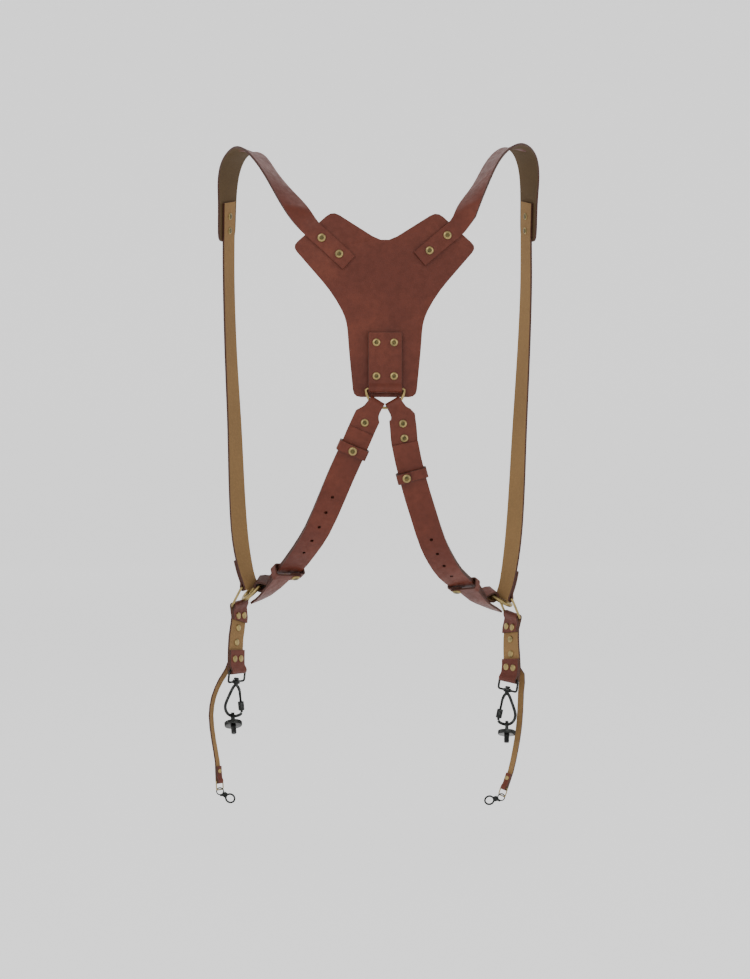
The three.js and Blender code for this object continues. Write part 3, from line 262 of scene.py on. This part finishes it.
def grain_leather(look):
    made = Look("red_grain", 0.5)
    tone = made.step(made.noise(14.0), 0.35, 0.68)
    mottle = made.step(made.noise(150.0, 5.0), 0.3, 0.75)
    pores = made.cells(1150.0)
    creases = made.step(made.noise(60.0, 6.0, 0.7), 0.46, 0.5)
    # Painted light: the lit grain colour is blended in over random patches
    colour = made.blend(tone * 0.75, look.grain, look.grain_lit)
    colour = made.blend(mottle * 0.35, colour, shade(look.grain, 0.55))
    colour = made.blend(made.step(pores, 0.5, 0.15) * 0.25, colour, shade(look.grain, 0.45))
    height = pores * 0.6 + made.noise(2600.0, 2.0) * 0.3 + creases * 0.12
    return made.finish(colour, 0.4 + mottle * 0.16 + pores * 0.08, height, 0.00018, 0.65)


def flesh_leather(look, name="tan_flesh", share=1.0):
    made = Look(name, 0.85)
    flesh = shade(look.flesh, share)
    tone = made.step(made.noise(9.0), 0.3, 0.7)
    fibres = made.noise(420.0, 6.0, 0.7)
    fuzz = made.noise(1800.0, 3.0, 0.7)
    colour = made.blend(tone * 0.6, flesh, shade(flesh, 0.72))
    colour = made.blend(made.step(fibres, 0.4, 0.7) * 0.35, colour, shade(flesh, 1.35))
    colour = made.blend(made.step(fuzz, 0.5, 0.75) * 0.3, colour, shade(flesh, 0.5))
    return made.finish(colour, 0.78 + fuzz * 0.15, fibres + fuzz * 0.5, 0.00025, 0.8)


# Painted shade: the flesh side at 0.36 of its colour, a shaded copy for the shoulder straps' undersides that lie in
# shadow
def shaded_flesh(look):
    return flesh_leather(look, "shaded_flesh", 0.36)


def cut_leather(look):
    made = Look("cut_edge", 0.6)
    streaks = made.noise(700.0, 4.0)
    colour = made.blend(made.step(streaks, 0.35, 0.7) * 0.7, look.edge, shade(look.edge, 2.6))
    return made.finish(colour, 0.42 + streaks * 0.25, streaks, 0.00012, 0.7)


def antique_brass(look):
    made = Look("antique_brass", 0.35, 1.0)
    patina = made.step(made.noise(190.0, 5.0, 0.6), 0.42, 0.68)
    specks = made.step(made.noise(900.0, 3.0), 0.55, 0.72)
    scratches = made.noise(2300.0, 2.0)
    colour = made.blend(patina * 0.7, look.brass, (0.13, 0.115, 0.065))
    colour = made.blend(specks * 0.4, colour, (0.07, 0.07, 0.045))
    return made.finish(colour, 0.26 + patina * 0.22 + scratches * 0.1, scratches, 0.00006, 0.5)


# Darker brass for the middle of the rivet heads: a painted dark reflection in the domes, mottled by noise
def dark_reflection_brass(look):
    made = Look("dark_reflection_brass", 0.42, 1.0)
    patina = made.step(made.noise(420.0, 4.0, 0.6), 0.35, 0.7)
    colour = made.blend(patina, (0.055, 0.052, 0.024), shade(look.brass, 0.45))
    return made.finish(colour, 0.36 + patina * 0.18)


def dark_gunmetal(look):
    made = Look("dark_gunmetal", 0.34, 1.0)
    # Lighter patches of the plating: partly wear, partly painted glints
    wear_and_glints = made.step(made.noise(240.0, 5.0, 0.65), 0.45, 0.7)
    scratches = made.noise(2000.0, 3.0)
    colour = made.blend(wear_and_glints * 0.6, look.gunmetal, shade(look.gunmetal, 4.5))
    colour = made.blend(made.step(made.noise(60.0), 0.5, 0.7) * 0.4, colour, shade(look.gunmetal, 0.5))
    return made.finish(colour, 0.16 + scratches * 0.2, scratches, 0.00006, 0.4)


def looks():
    """The materials, made once."""
    settings = bpy.context.scene
    makers = {
        "red_grain": (grain_leather, settings.harness_leather),
        "tan_flesh": (flesh_leather, settings.harness_leather),
        "shaded_flesh": (shaded_flesh, settings.harness_leather),
        "cut_edge": (cut_leather, settings.harness_leather),
        "antique_brass": (antique_brass, settings.harness_metal),
        "dark_reflection_brass": (dark_reflection_brass, settings.harness_metal),
        "dark_gunmetal": (dark_gunmetal, settings.harness_metal),
    }
    return {name: bpy.data.materials.get(name) or maker(look) for name, (maker, look) in makers.items()}


# Shapes


def placed(origin, x, y, z):
    """A matrix from three directions and a place, in metres."""
    matrix = Matrix((Vector(x), Vector(y), Vector(z))).transposed().to_4x4()
    matrix.translation = Vector(origin)
    return matrix


def upright(origin, up, near=(0, -1, 0)):
    """A matrix whose Z runs along up."""
    z = Vector(up).normalized()
    x = Vector(near) - z * z.dot(Vector(near))
    x = x.normalized() if x.length > 1e-4 else z.orthogonal().normalized()
    return placed(origin, x, z.cross(x), z)


def at(row):
    return Vector(row) * MM


def smooth_line(points, steps, closed):
    """Points of a smooth line through the given ones."""
    count = len(points)
    spans = count if closed else count - 1
    made = []
    for i in range(spans):
        picks = [(i + k) % count if closed else min(max(i + k, 0), count - 1) for k in (-1, 0, 1, 2)]
        a, b, c, d = (points[k] for k in picks)
        for s in range(steps):
            t = s / steps
            made.append(0.5 * (2 * b + (c - a) * t + (2 * a - 5 * b + 4 * c - d) * t * t + (3 * b - a - 3 * c + d) * t ** 3))
    return made if closed else made + [points[-1]]


def rounded_box_line(wide, high, soft, steps=6):
    """Outline of a rounded rectangle in the XY plane."""
    made = []
    for quarter, (sx, sy) in enumerate(((1, 1), (-1, 1), (-1, -1), (1, -1))):
        middle = Vector((sx * (wide / 2 - soft), sy * (high / 2 - soft), 0))
        for i in range(steps + 1):
            angle = (quarter + i / steps) * math.pi / 2
            made.append(middle + Vector((math.cos(angle), math.sin(angle), 0)) * soft)
    return made


def add_tube(bm, points, radius, normal, closed, sides=16):
    """A wire of round section along points in a plane."""
    count = len(points)
    rings = []
    for i, point in enumerate(points):
        before = points[(i - 1) % count] if closed or i else point
        after = points[(i + 1) % count] if closed or i < count - 1 else point
        side = (after - before).normalized().cross(normal).normalized()
        share = radius(i / (count - 1)) if callable(radius) else radius
        rings.append([
            bm.verts.new(point + (normal * math.cos(a) + side * math.sin(a)) * share)
            for a in (2 * math.pi * k / sides for k in range(sides))
        ])
    for i in range(count if closed else count - 1):
        here, there = rings[i], rings[(i + 1) % count]
        for k in range(sides):
            bm.faces.new((here[k], here[(k + 1) % sides], there[(k + 1) % sides], there[k]))
    if not closed:
        bm.faces.new(rings[0])
        bm.faces.new(rings[-1])


def add_turned(bm, profile, matrix, sides=32, wave=None):
    """A turned body: profile rows are radius and height, and wave changes the radius round it."""
    rings = []
    for radius, height in profile:
        if radius < 1e-7:
            rings.append([bm.verts.new(matrix @ Vector((0, 0, height)))])
            continue
        ring = []
        for k in range(sides):
            angle = 2 * math.pi * k / sides
            reach = radius * (wave(k, height) if wave else 1)
            ring.append(bm.verts.new(matrix @ Vector((math.cos(angle) * reach, math.sin(angle) * reach, height))))
        rings.append(ring)
    for low, high in zip(rings, rings[1:]):
        for k in range(sides):
            n = (k + 1) % sides
            if len(low) == 1:
                bm.faces.new((low[0], high[n], high[k]))
            elif len(high) == 1:
                bm.faces.new((low[k], low[n], high[0]))
            else:
                bm.faces.new((low[k], low[n], high[n], high[k]))
    for ring in (rings[0], rings[-1]):
        if len(ring) > 1:
            bm.faces.new(ring)


def add_block(bm, matrix, x, y, z, soft):
    """A block with rounded edges."""
    made = bmesh.ops.create_cube(bm, size=1, matrix=matrix @ Matrix.Diagonal((x, y, z, 1)))
    edges = list({e for v in made["verts"] for e in v.link_edges})
    bmesh.ops.bevel(bm, geom=edges, offset=soft, segments=3, profile=0.5, affect="EDGES")


def thread(pitch, length, outer, depth, start=0.0):
    """Profile rows of a screw's ridges."""
    rows = []
    turns = max(1, round(length / pitch))
    for i in range(turns):
        z = start + i * length / turns
        rows += [(outer - depth, z), (outer, z + 0.35 * length / turns), (outer, z + 0.6 * length / turns)]
    return rows + [(outer - depth, start + length)]


def finish_piece(name, bm, body, replaced, materials, sharp=40):
    bmesh.ops.recalc_face_normals(bm, faces=bm.faces)
    mesh = bpy.data.meshes.new(name)
    bm.to_mesh(mesh)
    bm.free()
    for material in materials:
        mesh.materials.append(material)
    mesh.polygons.foreach_set("use_smooth", [True] * len(mesh.polygons))
    mesh.set_sharp_from_angle(angle=math.radians(sharp))
    piece = bpy.data.objects.new(name, mesh)
    bpy.context.scene.collection.objects.link(piece)
    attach(piece, body)
    if replaced:
        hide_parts(*replaced)
    return piece


# Leather


def regions(bm, angle):
    """Groups of faces that meet at less than the angle."""
    seen, groups = set(), []
    for first in bm.faces:
        if first in seen:
            continue
        group, stack = [], [first]
        seen.add(first)
        while stack:
            face = stack.pop()
            group.append(face)
            for edge in face.edges:
                if len(edge.link_faces) == 2 and edge.calc_face_angle(4) < angle:
                    for other in edge.link_faces:
                        if other not in seen:
                            seen.add(other)
                            stack.append(other)
        groups.append(group)
    return groups


def make_leather(node, look, materials):
    """A copy of a leather solid with a grain side, a flesh side and rounded, burnished edges."""
    bm = bmesh.new()
    bm.from_mesh(nodes[node].data)
    bmesh.ops.remove_doubles(bm, verts=bm.verts, dist=1e-5)
    long = node.startswith(("shoulder_", "front_"))
    if long:
        bmesh.ops.join_triangles(bm, faces=bm.faces, angle_face_threshold=0.6, angle_shape_threshold=1.2)
    else:
        bmesh.ops.dissolve_limit(bm, angle_limit=math.radians(0.2), verts=bm.verts, edges=bm.edges)
    lo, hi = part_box(node)
    centre = (lo + hi) / 2 if "keeper" in node else BODY
    groups = sorted(regions(bm, math.radians(56)), key=lambda g: -sum(f.calc_area() for f in g))
    for number, group in enumerate(groups):
        facing = sum(f.normal.dot(f.calc_center_median() - centre) * f.calc_area() for f in group)
        index = 2 if number > 1 else (0 if facing > 0 else 1)
        for face in group:
            face.material_index = index
    for edge in bm.edges:
        if len(edge.link_faces) == 2:
            a, b = edge.link_faces
            edge.smooth = a.material_index == b.material_index and edge.calc_face_angle(4) < math.radians(56)
    weight = bm.edges.layers.float.get("bevel_weight_edge") or bm.edges.layers.float.new("bevel_weight_edge")
    for edge in bm.edges:
        if len(edge.link_faces) == 2 and {f.material_index for f in edge.link_faces} & {0, 1}:
            if edge.calc_face_angle(0) > math.radians(50):
                edge[weight] = 1.0
    if long:
        crease = bm.edges.layers.float.get("crease_edge") or bm.edges.layers.float.new("crease_edge")
        for edge in bm.edges:
            if edge[weight] or edge.calc_face_angle(0) > math.radians(50):
                edge[crease] = 1.0
    mesh = bpy.data.meshes.new(f"leather_{node}")
    bm.to_mesh(mesh)
    bm.free()
    # The shoulder straps take the darker flesh material as painted shade on their undersides
    for name in ("red_grain", "shaded_flesh" if node.startswith("shoulder") else "tan_flesh", "cut_edge"):
        mesh.materials.append(materials[name])
    mesh.polygons.foreach_set("use_smooth", [True] * len(mesh.polygons))
    piece = bpy.data.objects.new(f"leather_{node}", mesh)
    bpy.context.scene.collection.objects.link(piece)
    if long:
        curve = piece.modifiers.new("curve", "SUBSURF")
        curve.levels = curve.render_levels = 2
    bevel = piece.modifiers.new("rounding", "BEVEL")
    bevel.limit_method = "ANGLE" if long else "WEIGHT"
    bevel.angle_limit = math.radians(50)
    bevel.width = look.round
    bevel.segments = 2
    bevel.material = 2
    bevel.harden_normals = True
    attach(piece, "harness")
    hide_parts(node)


# Metal


def axis_of(node):
    """Middle and axis of a turned solid, with the axis towards its wide end."""
    points = np.unique(np.round([v.co for v in nodes[node].data.vertices], 6), axis=0)
    lo, hi = points.min(axis=0), points.max(axis=0)
    middle = (lo + hi) / 2
    spread, ways = np.linalg.eigh(np.cov((points - middle).T))
    odd = 0 if spread[1] - spread[0] > spread[2] - spread[1] else 2
    axis = ways[:, odd]
    heights = (points - middle) @ axis
    reach = np.linalg.norm(points - middle - np.outer(heights, axis), axis=1)
    if heights[reach > reach.max() * 0.98].mean() < (heights.min() + heights.max()) / 2:
        axis, heights = -axis, -heights
    return Vector(middle), Vector(axis), heights.min(), heights.max(), reach.max()


def dome_rows(radius, height, start):
    """Profile of a rivet head with a thin rim."""
    rows = [(radius * 0.3, start), (radius * 0.97, start), (radius, start + height * 0.1), (radius, start + height * 0.26)]
    for i in range(1, 6):
        angle = i / 6 * math.pi / 2
        rows.append((radius * 0.97 * math.cos(angle) ** 0.8, start + height * (0.3 + 0.7 * math.sin(angle))))
    return rows + [(0, start + height)]


def paint_head_reflections(bm, middles, radius):
    """Give the middle of each head the darker brass, a painted reflection of a dark room in the dome."""
    for face in bm.faces:
        for middle, axis in middles:
            offset = face.calc_center_median() - middle
            if (offset - axis * offset.dot(axis)).length < radius * 0.62 and abs(offset.dot(axis)) > 0.001:
                face.material_index = 1


def make_rivet(node, look, materials):
    middle, axis, low, high, radius = axis_of(node)
    bm = bmesh.new()
    matrix = upright(middle, axis)
    head = look.dome
    add_turned(bm, dome_rows(radius, head, high - head), matrix, 28)
    back = upright(middle, -axis)
    rise = 0.0011
    if -low > 0.0025:
        add_turned(bm, dome_rows(radius * 0.86, rise, -low - rise), back, 24)
    add_turned(bm, [(0.0015, low + 0.0003), (0.0015, high - 0.0005)], matrix, 16)
    # The darker middle of each head is a painted reflection
    paint_head_reflections(bm, [(middle, axis)], radius)
    finish_piece(f"head_{node}", bm, "harness", [node], [materials["antique_brass"], materials["dark_reflection_brass"]])


def make_studs(side, look, materials):
    """Heads over the rivets that are joined to the drop tab and the tether."""
    rows = HIPS[side]["studs"]
    for i, (place, axis) in enumerate(rows):
        bm = bmesh.new()
        out = 0.00265 + 0.0004 if i < 4 else 0.00265
        back = 0.00265 + 0.0004 if i < 4 else 0.0031
        add_turned(bm, dome_rows(0.0045, look.dome, out - 0.0003), upright(at(place), axis), 28)
        add_turned(bm, dome_rows(0.004, 0.0013, back - 0.0003), upright(at(place), [-c for c in axis]), 24)
        finish_piece(f"stud_{side}_{i + 1}", bm, "harness", [], [materials["antique_brass"]])
    place, axis = HIPS[side]["pin"]
    bm = bmesh.new()
    add_turned(bm, dome_rows(0.0026, 0.001, 0.0022), upright(at(place), axis), 24)
    add_turned(bm, dome_rows(0.0026, 0.001, 0.0022), upright(at(place), [-c for c in axis]), 24)
    finish_piece(f"stud_{side}_tether", bm, "harness", [], [materials["antique_brass"]])


def make_wire_box(name, node, centre, right, up, size, soft, wire, slot, material):
    bm = bmesh.new()
    x, y = Vector(right).normalized(), Vector(up)
    y = (y - x * x.dot(y)).normalized()
    matrix = placed(at(centre), x, y, x.cross(y))
    points = [matrix @ point for point in rounded_box_line(size[0], size[1], soft)]
    add_tube(bm, points, wire / 2, x.cross(y), True)
    finish_piece(name, bm, "harness", [node], [material])


def make_rings(materials):
    brass = materials["antique_brass"]
    for side, hip in HIPS.items():
        make_wire_box(
            f"loop_{side}", f"hip_loop_{side}", *hip["loop"], (0.0296, 0.0268), 0.0026, 0.0028, "brass", brass
        )
        make_wire_box(
            f"link_{side}", f"tether_link_{side}", *hip["link"], (0.0098, 0.0101), 0.0018, 0.0014, "brass", brass
        )
        centre, normal = hip["ring"]
        matrix = upright(at(centre), normal)
        bm = bmesh.new()
        circle = [Vector((math.cos(a), math.sin(a), 0)) * 0.0155 for a in (2 * math.pi * i / 56 for i in range(56))]
        add_tube(bm, [matrix @ p for p in circle], 0.0023, Vector(normal).normalized(), True, 18)
        finish_piece(f"oring_{side}", bm, "harness", [f"hip_ring_{side}"], [brass])
    lo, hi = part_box("center_ring")
    middle = (lo + hi) / 2
    radius = (hi.x - lo.x) / 2 - 0.0015
    top = hi.z - 0.0015
    points = []
    for i in range(41):
        angle = (i / 20 - 1) * 1.5
        points.append(Vector((middle.x + radius * math.sin(angle), middle.y, top + 0.0004 - radius * math.cos(angle))))
    points += [Vector((middle.x + s * (radius - 0.0016), middle.y, top)) for s in (1, 0.33, -0.33, -1)]
    bm = bmesh.new()
    add_tube(bm, points, 0.0015, Vector((0, 1, 0)), True)
    finish_piece("dring", bm, "harness", ["center_ring"], [brass])


def make_hook(side, hip, materials):
    """Stirrup, swivel stem, hook, gate and grooved sleeve."""
    metal = [materials["dark_gunmetal"]]
    bar, right, down, low = (Vector(v) for v in hip["eye"])
    down.normalize()
    centre = bar + down * 6.6
    bm = bmesh.new()
    right = right.normalized()
    matrix = placed(at(centre), right, down, right.cross(down))
    points = [matrix @ p for p in rounded_box_line(0.0292, 0.0132, 0.0026)]
    add_tube(bm, points, 0.0013, right.cross(down), True, 14)
    rows = [(0.002, -0.0021), (0.0041, -0.0021), (0.0045, -0.0017), (0.0045, 0.0017), (0.0041, 0.0021), (0.002, 0.0021)]
    add_turned(bm, rows, upright(at(low), down), 28)
    finish_piece(f"stirrup_{side}", bm, "harness", [f"swivel_eye_{side}"], metal)

    apex, out, normal = (Vector(v) for v in hip["hook"])
    hang = normal.cross(out).normalized()
    hang = hang if hang.z < 0 else -hang
    line = [at(apex + out * x * 10.4 + hang * y * 37) for x, y in HOOK_LINE]
    points = smooth_line(line, 5, False)
    bm = bmesh.new()

    def taper(share):
        return 0.00175 * min(1, 0.8 + 12 * min(share, 1 - share))

    add_tube(bm, points, taper, normal.normalized(), False, 16)
    stem = upright(at(low), down)
    rows = [(0, -0.0046), (0.0024, -0.0046), (0.0031, -0.0041), (0.0031, -0.0026), (0.0017, -0.0024), (0.0017, 0.0024),
            (0.0026, 0.0026), (0.0026, 0.0034), (0.0018, 0.0042), (0, 0.0045)]
    add_turned(bm, rows, stem, 24)
    finish_piece(f"snap_{side}", bm, f"hook_{side}", [f"carabiner_{side}"], metal)

    top, foot = (Vector(v) for v in hip["gate"])
    run = (foot - top).normalized()
    reach = (foot - top).length * MM
    bm = bmesh.new()
    rows = [(0.0011, -0.0012), (0.00155, -0.0006), (0.00155, 0.0035)]
    rows += thread(0.0008, 0.0085, 0.00155, 0.00028, 0.0036)
    rows += [(0.00155, 0.0125), (0.00155, reach + 0.0008), (0.0011, reach + 0.0014)]
    add_turned(bm, rows, upright(at(top), run), 20)
    finish_piece(f"bar_{side}", bm, f"hook_{side}", [f"gate_{side}"], metal)

    start = 0.72 * reach - 0.0052
    bm = bmesh.new()
    count = 22

    def grooves(k, height):
        inside = 0.0012 < height - start < 0.0092
        return 0.93 if inside and k % 2 else 1

    rows = [(0.0019, start), (0.0031, start), (0.0035, start + 0.0005), (0.0035, start + 0.0013)]
    rows += [(0.0035, start + 0.0015 + 0.0074 * i / 4) for i in range(5)]
    rows += [(0.0035, start + 0.0091), (0.0035, start + 0.0099), (0.0031, start + 0.0104), (0.0019, start + 0.0104)]
    add_turned(bm, rows, upright(at(top), run), count * 2, grooves)
    finish_piece(f"sleeve_{side}", bm, f"sleeve_{side}", [f"lock_sleeve_{side}"], metal, 30)


def make_screw(side, hip, look, materials):
    """Knurled disc, threaded stud and the lug that hangs in the wire loop."""
    metal = [materials["dark_gunmetal"]]
    pin, down, axis, across = (Vector(v) for v in hip["screw"])
    matrix = upright(at(pin), down, axis)
    bm = bmesh.new()

    def knurl(k, height):
        return 0.95 if k % 2 and 0.0031 < height < 0.0071 else 1

    rows = [(0.0022, 0.0026), (0.0078, 0.0026), (0.0084, 0.0029), (0.0088, 0.0027), (0.0099, 0.0028), (0.0103, 0.0032)]
    rows += [(0.0103, 0.0032 + 0.0038 * i / 3) for i in range(1, 4)]
    rows += [(0.0099, 0.0075), (0.009, 0.0076), (0.0036, 0.0076)]
    add_turned(bm, rows, matrix, look.notches * 2, knurl)
    rows = [(0.0028, 0.0072)] + thread(0.00127, 0.0088, 0.00317, 0.00045, 0.0078) + [(0.0024, 0.0171), (0, 0.0171)]
    add_turned(bm, rows, matrix, 28)
    add_block(bm, matrix @ Matrix.Translation((0, 0, 0.0013)), 0.0042, 0.0042, 0.0034, 0.0005)
    add_turned(bm, [(0.0012, -0.0021), (0.0021, -0.0021), (0.0021, 0.0021), (0.0012, 0.0021)], upright(at(pin), across), 20)
    finish_piece(f"disc_{side}", bm, f"screw_{side}", [f"camera_screw_{side}"], metal, 30)


def make_bevelled(node, body, name, materials):
    """A copy of a small metal solid with rounded edges."""
    bm = bmesh.new()
    bm.from_mesh(nodes[node].data)
    bmesh.ops.remove_doubles(bm, verts=bm.verts, dist=1e-5)
    bmesh.ops.dissolve_limit(bm, angle_limit=math.radians(1), verts=bm.verts, edges=bm.edges)
    edges = [e for e in bm.edges if len(e.link_faces) == 2 and e.calc_face_angle(0) > math.radians(50)]
    bmesh.ops.bevel(bm, geom=edges, offset=0.0002, segments=2, profile=0.5, affect="EDGES", clamp_overlap=True)
    finish_piece(name, bm, body, [node], [materials["dark_gunmetal"]], 45)


def make_clasp(side, hip, materials):
    """Small hook: eyelet, body, oval ring and the pin of its lever."""
    centre, along, face = (Vector(v) for v in hip["clasp"])
    along.normalize()
    side_way = along.cross(face).normalized()
    matrix = placed(at(centre), along, side_way, along.cross(side_way))
    normal = along.cross(side_way)
    bm = bmesh.new()
    circle = [Vector((math.cos(a), math.sin(a), 0)) * 0.004 for a in (2 * math.pi * i / 32 for i in range(32))]
    add_tube(bm, [matrix @ p for p in circle], 0.0007, normal, True, 12)
    add_block(bm, matrix @ Matrix.Translation((0.0072, 0, 0)), 0.0052, 0.006, 0.0034, 0.0007)
    reach = 5 + 4.7 + 5.25 - 0.6
    oval = [Vector((reach + math.cos(a) * 5.25, math.sin(a) * 4.75, 0)) * MM for a in (2 * math.pi * i / 36 for i in range(36))]
    add_tube(bm, [matrix @ p for p in oval], 0.0011, normal, True, 14)
    add_turned(bm, [(0.00075, 0.0008), (0.00075, 0.0034), (0.0005, 0.0036)], upright(at(centre + along * 7.2), -face), 16)
    finish_piece(f"catch_{side}", bm, "harness", [f"clasp_{side}"], [materials["dark_gunmetal"]])
    make_bevelled(f"clasp_lever_{side}", f"lever_{side}", f"thumb_{side}", materials)
    make_bevelled(f"screw_loop_{side}", f"hook_{side}", f"shackle_{side}", materials)


# Operators


class HARNESS_OT_leather(bpy.types.Operator):
    """Yoke, straps, keepers, drop tabs and tethers in leather"""

    bl_idname = "harness.leather"
    bl_label = "Leather"

    def execute(self, context):
        for node in sorted(nodes):
            if node.startswith(("back_", "shoulder_", "front_", "strap_", "upper_", "lower_", "drop_", "tether_", "yoke_")):
                if not node.startswith("tether_link"):
                    make_leather(node, context.scene.harness_leather, looks())
        return {"FINISHED"}


class HARNESS_OT_rivets(bpy.types.Operator):
    """Domed brass rivet heads"""

    bl_idname = "harness.rivets"
    bl_label = "Rivets"

    def execute(self, context):
        for node in sorted(n for n in nodes if n.startswith("rivet_")):
            make_rivet(node, context.scene.harness_metal, looks())
        for side in HIPS:
            make_studs(side, context.scene.harness_metal, looks())
        return {"FINISHED"}


class HARNESS_OT_rings(bpy.types.Operator):
    """Centre ring, hip rings, hip loops and tether links"""

    bl_idname = "harness.rings"
    bl_label = "Rings"

    def execute(self, context):
        make_rings(looks())
        return {"FINISHED"}


class HARNESS_OT_hooks(bpy.types.Operator):
    """Swivel eyes, snap hooks, gates and sleeves"""

    bl_idname = "harness.hooks"
    bl_label = "Snap hooks"

    def execute(self, context):
        for side, hip in HIPS.items():
            make_hook(side, hip, looks())
        return {"FINISHED"}


class HARNESS_OT_screws(bpy.types.Operator):
    """Knurled camera screws"""

    bl_idname = "harness.screws"
    bl_label = "Camera screws"

    def execute(self, context):
        for side, hip in HIPS.items():
            make_screw(side, hip, context.scene.harness_metal, looks())
        return {"FINISHED"}


class HARNESS_OT_clasps(bpy.types.Operator):
    """Small clasps of the tethers, their levers and the wire loops of the camera screws"""

    bl_idname = "harness.clasps"
    bl_label = "Clasps"

    def execute(self, context):
        for side, hip in HIPS.items():
            make_clasp(side, hip, looks())
        return {"FINISHED"}


class HARNESS_OT_stage(bpy.types.Operator):
    """Pale floor that curves up all round, soft light and the camera"""

    bl_idname = "harness.stage"
    bl_label = "Stage"

    def execute(self, context):
        look = context.scene.harness_stage
        made = Look("pale_floor", 0.85)
        made.finish(made.blend(made.noise(3.0) * 0.04, look.floor, shade(look.floor, 0.9)))
        made.shader.inputs["Emission Color"].default_value = (1, 1, 1, 1)
        made.shader.inputs["Emission Strength"].default_value = look.glow
        bm = bmesh.new()
        low = cad_box[0].z - 0.03
        rim = [(8 + math.sin(a), low + 1 - math.cos(a)) for a in (math.pi / 2 * i / 10 for i in range(11))]
        add_turned(bm, [(0, low), *rim, (9, low + 7)], Matrix.Identity(4), 96)
        bmesh.ops.delete(bm, geom=[max(bm.faces, key=lambda face: len(face.verts))], context="FACES_ONLY")
        mesh = bpy.data.meshes.new("floor")
        bm.to_mesh(mesh)
        bm.free()
        mesh.materials.append(made.material)
        mesh.polygons.foreach_set("use_smooth", [True] * len(mesh.polygons))
        floor = bpy.data.objects.new("floor", mesh)
        context.scene.collection.objects.link(floor)
        lights = (
            ("key", (-1.3, -2.4, 1.3), 1.6, look.strength),
            ("fill", (1.9, -2.0, 0.2), 1.8, look.strength * 0.45),
            ("top", (0.1, 0.4, 1.9), 1.5, look.strength * 0.5),
        )
        for name, place, size, power in lights:
            data = bpy.data.lights.new(name, "AREA")
            data.size, data.energy = size, power
            lamp = bpy.data.objects.new(name, data)
            lamp.location = place
            lamp.rotation_euler = (Vector((0, 0, -0.35)) - Vector(place)).to_track_quat("-Z", "Y").to_euler()
            context.scene.collection.objects.link(lamp)
        world = bpy.data.worlds.new("studio")
        world.use_nodes = True
        world.node_tree.nodes["Background"].inputs[0].default_value = (1, 1, 1, 1)
        world.node_tree.nodes["Background"].inputs[1].default_value = 0.8
        context.scene.world = world
        data = bpy.data.cameras.new("camera")
        data.lens, data.sensor_width, data.clip_end = 79.9, 36, 50
        camera = bpy.data.objects.new("camera", data)
        camera.location = (-0.13604, -2.49657, -0.3987)
        camera.rotation_euler = (math.pi / 2, 0, math.radians(-3))
        context.scene.collection.objects.link(camera)
        context.scene.camera = camera
        return {"FINISHED"}


class HARNESS_PT_panel(bpy.types.Panel):
    bl_idname = "HARNESS_PT_panel"
    bl_label = "Camera harness"
    bl_space_type = "VIEW_3D"
    bl_region_type = "UI"
    bl_category = "Harness"

    def draw(self, context):
        for group in ("harness_leather", "harness_metal", "harness_stage"):
            settings = getattr(context.scene, group)
            for name in settings.__annotations__:
                self.layout.prop(settings, name)
        for operator in OPERATORS:
            self.layout.operator(operator.bl_idname)


GROUPS = {"harness_leather": LeatherLook, "harness_metal": MetalLook, "harness_stage": StageLook}
OPERATORS = (
    HARNESS_OT_stage,
    HARNESS_OT_leather,
    HARNESS_OT_rivets,
    HARNESS_OT_rings,
    HARNESS_OT_hooks,
    HARNESS_OT_screws,
    HARNESS_OT_clasps,
)


def register():
    for group in (*GROUPS.values(), *OPERATORS, HARNESS_PT_panel):
        bpy.utils.register_class(group)
    for name, group in GROUPS.items():
        setattr(bpy.types.Scene, name, PointerProperty(type=group))


def unregister():
    for name in GROUPS:
        delattr(bpy.types.Scene, name)
    for group in reversed((*GROUPS.values(), *OPERATORS, HARNESS_PT_panel)):
        bpy.utils.unregister_class(group)


def main():
    register()
    bpy.ops.harness.stage()
    bpy.ops.harness.leather()
    bpy.ops.harness.rivets()
    bpy.ops.harness.rings()
    bpy.ops.harness.hooks()
    bpy.ops.harness.screws()
    bpy.ops.harness.clasps()


if __name__ == "__main__":
    main()
